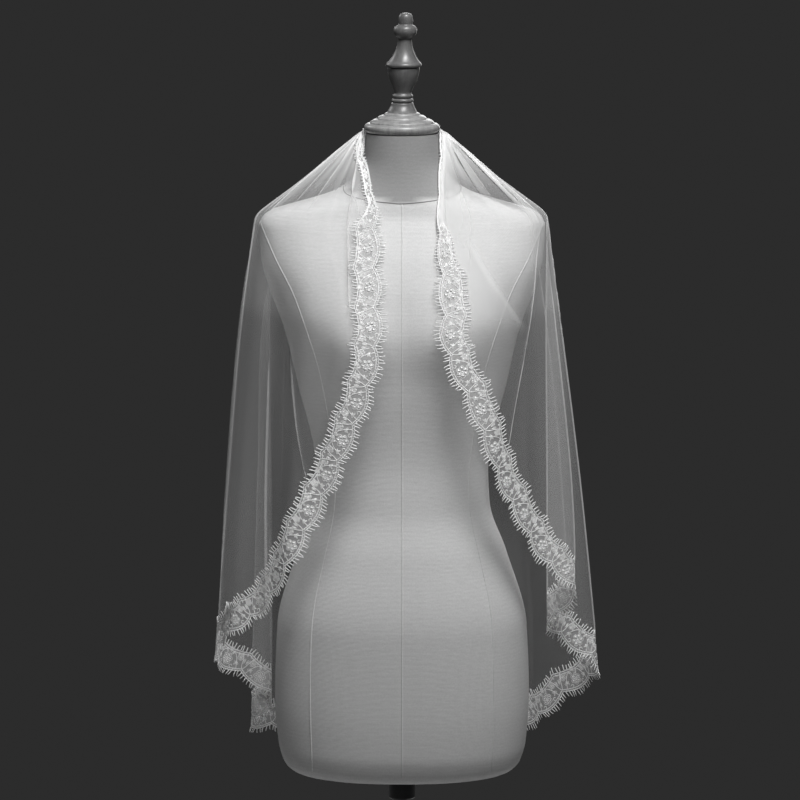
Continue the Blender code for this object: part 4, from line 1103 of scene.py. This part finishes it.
rising_line[from_corner:] = np.maximum.accumulate(cut_line[from_corner:])
rising_line[:from_corner] = np.interp(left_corner, samples, cut_line)
rising_line = rising_line + 1e-7 * samples
first_line, last_line = np.interp((left_corner, right_corner), samples, rising_line)
columns = column_lines(first_line, last_line)
feet = np.interp(columns, rising_line, samples)
feet[0], feet[-1] = left_corner, right_corner
foot_line = np.interp(feet, samples, rising_line)
foot_z = np.interp(feet, samples, cut_z)
upper_heights = NECK_Z + (CORNER_Z - NECK_Z) * np.linspace(0, 1, UPPER_STEPS)
fall = np.linspace(0, 1, LOWER_STEPS + 1)[1:]
heights = np.concatenate(
    (
        np.repeat(upper_heights[:, None], TULLE_COLUMNS, axis=1),
        CORNER_Z + (foot_z[None, :] - CORNER_Z) * fall[:, None],
    )
)
left_lines = np.interp(-np.maximum(heights, CORNER_Z), -cut_z[:half], cut_line[:half])
right_lines = np.interp(np.maximum(heights, CORNER_Z), cut_z[half:], cut_line[half:])
across = ((foot_line - foot_line[0]) / (foot_line[-1] - foot_line[0]))[None, :]
lines = left_lines * (1 - across) + right_lines * across
tulle_points = sheet(lines, heights, fine=True)
foot_run = np.interp(feet, samples, edge_run)
tulle_places = np.stack((np.broadcast_to(foot_run[None, :], heights.shape), heights), axis=-1)
tulle_finish = net_finish("tulle_net", 0.90, None, 1.0, 0.0016)
tulle = grid_piece("tulle_panel", tulle_points, tulle_places, tulle_finish, net_cover(lines, heights))
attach(tulle, "root")
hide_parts("tulle_left", "tulle_back", "tulle_right")


# Lace edging and its eyelash fringe
# A band of corded lace, scalloped along both sides, sewn flat on the tulle all round its cut edge.
# Its net carries flowers, leaves and curling stems in thicker thread, and both sides end in free threads.
LACE_LIFT = 0.0005
MAP_STEP = 0.0020
MAP_OUT = 0.009
MAP_IN = 0.044
MAP_WALK = 0.0025
INNER_EDGE = 0.0270
INNER_WAVE = 0.80
CORD_WIDTH = 0.0013
TWIN_GAP = 0.0026
STEM_WIDTH = 0.0011
PETAL_CORD = 0.0008
LASH_LENGTH = 0.0082
LASH_WIDTH = 0.0015
LASHES = 12
LASH_SEED = 5
CROWDED = 0.3
LACE_SPLITS = (9.5, 17.5)
LEAF_POINTS = 12
CORE_SHARE = 0.74

# Flowers in one scallop, in millimetres: distance along it, distance in from its edge, radius, petals, turn
FLOWER_COLUMNS = ("along", "inwards", "radius", "petals", "turn")
FLOWERS = (
    (24.5, 13.0, 7.6, 6, 15),
    (9.0, 22.5, 4.6, 5, 40),
    (40.5, 22.0, 4.2, 5, 10),
)

# Leaves: distance along, distance in, direction in degrees, length, width
LEAF_COLUMNS = ("along", "inwards", "direction", "length", "width")
LEAVES = (
    (13.0, 14.5, 200, 6.5, 3.0),
    (12.5, 10.5, 120, 6.0, 2.6),
    (36.0, 14.5, -20, 6.5, 3.0),
    (36.5, 10.0, 50, 6.0, 2.6),
    (18.5, 25.0, -60, 5.5, 2.6),
    (30.5, 25.0, 240, 5.5, 2.6),
    (24.5, 29.0, 270, 6.0, 3.0),
    (-1.5, 17.0, 100, 6.0, 2.6),
    (1.5, 17.0, 80, 6.0, 2.6),
)

# Stems, scrolls and loops, as points in millimetres
STEMS = (
    ((0.0, 9.0), (-2.5, 14.0), (-4.0, 20.0), (-8.5, 29.5)),
    ((0.0, 9.0), (2.5, 14.0), (4.5, 20.0), (9.0, 29.5)),
    ((6.5, 6.5), (9.0, 12.0), (12.5, 18.5), (17.5, 23.5), (24.5, 25.0)),
    ((42.5, 6.5), (40.0, 12.0), (36.5, 18.5), (31.5, 23.5), (24.5, 25.0)),
    ((24.5, 25.0), (20.5, 27.0), (15.0, 28.5)),
    ((24.5, 25.0), (28.5, 27.0), (34.0, 28.5)),
    ((14.5, 4.5), (17.0, 6.8), (15.0, 8.8), (12.8, 7.6)),
    ((34.5, 4.5), (32.0, 6.8), (34.0, 8.8), (36.2, 7.6)),
)
INNER_LEAVES = 9
LADDER_BARS = 16


def leaf_loop(along, inwards_by, direction, length, width, pointed):
    """A closed leaf or petal outline in millimetres, starting at its foot."""
    t = np.linspace(0, 2 * math.pi, LEAF_POINTS + 1)
    forward = length * (1 - np.cos(t)) / 2
    taper = np.sin(t / 2) if pointed else 0.55 + 0.45 * np.sin(t / 2)
    sideways = 0.5 * width * np.sin(t) * taper * (1.0 if pointed else 1.15)
    c, s = math.cos(math.radians(direction)), math.sin(math.radians(direction))
    return np.stack((along + forward * c - sideways * s, inwards_by + forward * s + sideways * c), axis=1)


def cored(loop):
    """The smaller filled shape inside a leaf or petal."""
    centre = loop[:-1].mean(axis=0)
    return centre + (loop[:-1] - centre) * CORE_SHARE


def motif():
    """Threads and filled leaves of one scallop: lists of (points, width) and of outlines.

    A point is the share of the scallop along it, and the distance in from its edge in metres."""
    threads, fills = [], []
    for row in FLOWERS:
        flower = dict(zip(FLOWER_COLUMNS, row))
        heart = 0.22 * flower["radius"]
        span = 360 / flower["petals"]
        for k in range(flower["petals"]):
            direction = flower["turn"] + k * span
            c, s = math.cos(math.radians(direction)), math.sin(math.radians(direction))
            width = 1.55 * flower["radius"] * math.tan(math.radians(span / 2)) * 0.72
            foot = (flower["along"] + heart * c, flower["inwards"] + heart * s)
            loop = leaf_loop(*foot, direction, flower["radius"] - heart, width, False)
            threads.append((loop, PETAL_CORD))
            fills.append(cored(loop))
        ring = leaf_loop(flower["along"] - heart, flower["inwards"], 0, 2 * heart, 2 * heart, False)
        threads.append((ring, PETAL_CORD))
        fills.append(ring[:-1])
    for row in LEAVES:
        leaf = dict(zip(LEAF_COLUMNS, row))
        loop = leaf_loop(leaf["along"], leaf["inwards"], leaf["direction"], leaf["length"], leaf["width"], True)
        threads.append((loop, PETAL_CORD))
        fills.append(cored(loop))
    for points in STEMS:
        threads.append((rounded_path(points, 3 * len(points)), STEM_WIDTH))
    for k in range(INNER_LEAVES):
        along = (k + 0.5) * SCALLOP * 1000 / INNER_LEAVES
        edge = 1000 * (INNER_EDGE + INNER_WAVE * scallop_depth((k + 0.5) / INNER_LEAVES))
        lean = 250 if k % 2 else 290
        loop = leaf_loop(along, edge - 1.2, lean, 3.8, 2.0, True)
        threads.append((loop, PETAL_CORD * 0.8))
        fills.append(loop[:-1])
    for k in range(LADDER_BARS):
        along = (k + 0.5) * SCALLOP * 1000 / LADDER_BARS
        outer = 1000 * scallop_depth((k + 0.5) / LADDER_BARS)
        threads.append((np.array(((along, outer + 0.8), (along, outer + 3.0))), PETAL_CORD * 0.8))
    scale = np.array((1 / (1000 * SCALLOP), 1 / 1000))
    return [(points * scale, width) for points, width in threads], [points * scale for points in fills]


class LaceMap:
    """Turns a distance along the edge and a distance in from it into a point and a normal on the veil."""

    def __init__(self):
        self.stations = np.arange(0.0, edge_run[-1], MAP_STEP)
        line = np.interp(self.stations, edge_run, edge_line)
        z = np.interp(self.stations, edge_run, edge_z)
        along = unit(np.stack([np.interp(self.stations, edge_run, part) for part in edge_along.T], axis=1))
        self.width_share = lapel_share(line, z)
        self.lash_out = np.clip((self.width_share - 0.3) / 0.5, 0.0, 1.0)
        self.lash_in = np.where(line < LAST_LINE / 2, np.maximum(self.lash_out, 0.5), self.lash_out)
        turned_under = (line > LAST_LINE / 2) * smooth_step(1.222, 1.240, z)
        self.face = 1 - 2 * turned_under
        walks = np.arange(MAP_WALK, MAP_IN + 1e-9, MAP_WALK)
        walk_lines, walk_heights = inwards(line, z, along, walks)
        walk_lines = np.vstack((line[None], walk_lines))
        walk_heights = np.vstack((z[None], walk_heights))
        points = sheet(walk_lines, walk_heights)
        by_line, by_z = sheet_slopes(walk_lines, walk_heights)
        normals = unit(np.cross(by_z, by_line))
        away = unit(points[0] - points[1])
        beyond = points[0] + away * MAP_OUT
        self.points = np.concatenate((beyond[None], points)).transpose(1, 0, 2)
        self.normals = np.concatenate((normals[:1], normals)).transpose(1, 0, 2)
        self.depths = np.concatenate(([-MAP_OUT], [0.0], walks))
        lash_tips = self.points[:, np.searchsorted(self.depths, INNER_EDGE + LASH_LENGTH)]
        room = np.linalg.norm(np.gradient(lash_tips, axis=0), axis=1) / MAP_STEP
        self.lash_in = self.lash_in * np.clip((room - CROWDED) / CROWDED, 0.0, 1.0)
        self.lines = line

    def at(self, run, depth, lift=LACE_LIFT):
        """Points, lifted off the tulle, and normals, at distances along the edge and in from it."""
        place = np.clip(run / MAP_STEP, 0, len(self.stations) - 1.001)
        i = place.astype(int)
        u = (place - i)[..., None]
        past = np.maximum(depth - INNER_EDGE - INNER_WAVE * scallop(run), 0.0)
        deep = (depth - past) * self.width_share[i] + past * self.lash_in[i]
        deep = np.where(depth > 0, deep, depth * self.lash_out[i])
        level = np.interp(deep, self.depths, np.arange(len(self.depths)))
        j = np.clip(level.astype(int), 0, len(self.depths) - 2)
        v = (level - j)[..., None]

        def blend(values):
            near = values[i, j] * (1 - u) + values[i + 1, j] * u
            far = values[i, j + 1] * (1 - u) + values[i + 1, j + 1] * u
            return near * (1 - v) + far * v

        normals = unit(blend(self.normals))
        return blend(self.points) + normals * (lift * self.face[i])[..., None], normals


def add_strand(store, points, normals, widths):
    """Adds a thread of four-sided section along points."""
    count = len(points)
    sides = unit(np.cross(unit(np.gradient(points, axis=0)), normals))
    widths = np.broadcast_to(np.asarray(widths, float), (count,))[:, None]
    ring = np.stack(
        (
            points - sides * widths / 2,
            points + normals * widths * 0.34,
            points + sides * widths / 2,
            points - normals * widths * 0.34,
        ),
        axis=1,
    )
    first = store["count"]
    store["points"].append(ring.reshape(-1, 3))
    number = first + np.arange(count * 4).reshape(count, 4)
    quads = np.stack(
        (number[:-1], np.roll(number, -1, axis=1)[:-1], np.roll(number, -1, axis=1)[1:], number[1:]), axis=-1
    )
    store["quads"].append(quads.reshape(-1, 4))
    store["quads"].append(number[:1, ::-1])
    store["quads"].append(number[-1:])
    store["count"] += count * 4


def add_fill(store, outline, normals, height):
    """Adds a filled leaf or petal, domed on both faces."""
    count = len(outline)
    centre, normal = outline.mean(axis=0), unit(normals.mean(axis=0))
    first = store["count"]
    store["points"].append(np.vstack((outline, centre + normal * height, centre - normal * height)))
    k = first + np.arange(count)
    after = np.roll(k, -1)
    top, under = np.full(count, first + count), np.full(count, first + count + 1)
    store["triangles"].append(np.stack((k, after, top), axis=-1))
    store["triangles"].append(np.stack((after, k, under), axis=-1))
    store["count"] += count + 2


def threads_piece(name, store, material):
    """One mesh of all the threads and filled leaves in a stretch of lace."""
    faces = np.vstack(store["quads"]).tolist() + np.vstack(store["triangles"]).tolist()
    mesh = bpy.data.meshes.new(name)
    mesh.from_pydata(np.vstack(store["points"]).tolist(), [], faces)
    work = bmesh.new()
    work.from_mesh(mesh)
    bmesh.ops.recalc_face_normals(work, faces=work.faces)
    work.to_mesh(mesh)
    work.free()
    mesh.shade_smooth()
    mesh.materials.append(material)
    piece = bpy.data.objects.new(name, mesh)
    bpy.context.scene.collection.objects.link(piece)
    return piece


def lace_thread():
    """Bleached cotton thread, matt, with the fine twist of its yarn."""
    made, shader, nodes, links = plain_finish("lace_thread", (0.92, 0.92, 0.915, 1), 0.7)
    shader.inputs["Sheen Weight"].default_value = 0.3
    shader.inputs["Specular IOR Level"].default_value = 0.35
    place = add_node(nodes, "ShaderNodeTexCoord")
    fibres = add_node(nodes, "ShaderNodeTexNoise", inputs={"Scale": 1800.0, "Detail": 2.0})
    tone = add_node(nodes, "ShaderNodeTexNoise", inputs={"Scale": 160.0, "Detail": 2.0})
    shades = ramp_between(nodes, 0.3, 0.7, 0.80, 0.94)
    bump = add_node(nodes, "ShaderNodeBump", inputs={"Strength": 0.3, "Distance": 0.0002})
    links.new(place.outputs["Object"], fibres.inputs["Vector"])
    links.new(place.outputs["Object"], tone.inputs["Vector"])
    links.new(tone.outputs["Fac"], shades.inputs["Fac"])
    links.new(shades.outputs["Color"], shader.inputs["Base Color"])
    links.new(fibres.outputs["Fac"], bump.inputs["Height"])
    links.new(bump.outputs["Normal"], shader.inputs["Normal"])
    return made


lace_map = LaceMap()
thread_finish = lace_thread()
lace_net_finish = net_finish("lace_net", 0.90, 0.30, 0.6, 0.0012)
motif_threads, motif_fills = motif()
lash_chance = np.random.default_rng(LASH_SEED)
split_runs = [float(np.interp(split, np.maximum.accumulate(edge_line), edge_run)) for split in LACE_SPLITS]
inner_limits = [float(run_at(round(scallop_count(run)))) for run in split_runs]
limits = [0.0, *inner_limits, float(edge_run[-1])]
for name, start, end in zip(("left", "hem", "right"), limits, limits[1:]):
    store = {"points": [], "quads": [], "triangles": [], "count": 0}
    along = np.linspace(start, end, max(2, round((end - start) / MAP_STEP)))
    outer = scallop(along)
    inner = INNER_EDGE + INNER_WAVE * scallop(along)
    for depth in (outer + 0.0006, outer + 0.0006 + TWIN_GAP, inner - TWIN_GAP, inner):
        points, normals = lace_map.at(along, depth)
        add_strand(store, points, normals, CORD_WIDTH)
    for repeat in range(math.floor(scallop_count(start)) - 1, math.ceil(scallop_count(end)) + 1):
        for points, width in motif_threads:
            run = run_at(repeat + points[:, 0])
            if run.min() < start or run.max() > end:
                continue
            places, normals = lace_map.at(run, points[:, 1])
            add_strand(store, places, normals, width)
        for points in motif_fills:
            run = run_at(repeat + points[:, 0])
            if run.min() < start or run.max() > end:
                continue
            places, normals = lace_map.at(run, points[:, 1])
            add_fill(store, places, normals, PETAL_CORD * 0.25)
        for k in range(LASHES):
            for outward in (True, False):
                run = float(run_at(repeat + (k + lash_chance.uniform(0.3, 0.7)) / LASHES))
                slant = lash_chance.uniform(-0.0018, 0.0018)
                length = LASH_LENGTH * lash_chance.uniform(0.72, 1.06)
                if not start < run < end:
                    continue
                t = np.linspace(0, 1, 4)
                root = scallop(run) + 0.0008 if outward else INNER_EDGE + INNER_WAVE * scallop(run)
                way = -1 if outward else 1
                places, normals = lace_map.at(run + slant * t**2, root + way * length * t, LACE_LIFT * (1 + 1.5 * t))
                add_strand(store, places, normals, LASH_WIDTH * (1 - 0.25 * t))
    threads = threads_piece("lace_threads_" + name, store, thread_finish)
    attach(threads, "root")
    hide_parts("fringe_" + name)

    shares = np.linspace(0, 1, 11)
    net_depth = (outer + 0.0006)[None, :] * (1 - shares[:, None]) + inner[None, :] * shares[:, None]
    net_run = np.broadcast_to(along[None, :], net_depth.shape)
    points, normals = lace_map.at(net_run, net_depth, LACE_LIFT * 0.8)
    places = np.stack((net_run, net_depth), axis=-1)
    net = grid_piece("lace_net_" + name, points, places, lace_net_finish)
    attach(net, "root")
    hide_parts("lace_" + name)


# Floor, light and camera
# A plain pale studio floor, a soft light from above in front, a weak beam on the waist,
# and weak fill and rim lights behind.
FLOOR_RADIUS = 2.0
SURROUND = 0.025
CAMERA_DISTANCE = 6.0
CAMERA_PITCH = math.radians(8.5)
TARGET_Z = 1.01366
CAMERA_LENS = 225.0
LIGHT_COLUMNS = ("name", "place", "aim", "size", "power", "spread")
LIGHTS = (
    ("key_light", (0.32, -0.98, 2.98), (0.0, 0.0, 1.16), 0.9, 10.0, 75),
    ("front_fill", (0.30, -2.80, 1.20), (0.0, 0.0, 1.00), 0.35, 0.18, 22),
    ("back_fill", (0.30, 2.80, 1.60), (0.0, 0.0, 1.05), 1.4, 20.0, 180),
    ("rim_light", (-1.6, 1.6, 2.4), (0.0, 0.0, 1.1), 0.8, 8.0, 180),
)

start_clean()
bpy.ops.mesh.primitive_circle_add(vertices=128, radius=FLOOR_RADIUS, fill_type="NGON", location=(0, 0, 0))
floor = bpy.context.object
floor.name = "studio_floor"
floor.data.materials.append(plain_finish("pale_floor", (0.62, 0.62, 0.62, 1), 0.8)[0])

for row in LIGHTS:
    light = dict(zip(LIGHT_COLUMNS, row))
    data = bpy.data.lights.new(light["name"], "AREA")
    data.shape = "DISK"
    data.size = light["size"]
    data.energy = light["power"]
    data.spread = math.radians(light["spread"])
    lamp = bpy.data.objects.new(light["name"], data)
    bpy.context.scene.collection.objects.link(lamp)
    place, aim = np.array(light["place"]), np.array(light["aim"])
    lamp.location = place
    direction = (aim - place) / np.linalg.norm(aim - place)
    yaw = math.atan2(direction[0], -direction[1])
    pitch = math.acos(-direction[2])
    lamp.rotation_euler = (-pitch, 0, yaw)

world = bpy.data.worlds.new("studio_dark")
world.use_nodes = True
world.node_tree.nodes["Background"].inputs["Color"].default_value = (SURROUND, SURROUND, SURROUND, 1)
bpy.context.scene.world = world
bpy.context.scene.view_settings.view_transform = "Standard"

camera_data = bpy.data.cameras.new("photo_view")
camera_data.lens = CAMERA_LENS
camera_data.shift_x = -0.0025
camera = bpy.data.objects.new("photo_view", camera_data)
bpy.context.scene.collection.objects.link(camera)
camera.location = (
    0,
    -CAMERA_DISTANCE * math.cos(CAMERA_PITCH),
    TARGET_Z + CAMERA_DISTANCE * math.sin(CAMERA_PITCH),
)
camera.rotation_euler = (math.pi / 2 - CAMERA_PITCH, 0, 0)
bpy.context.scene.camera = camera
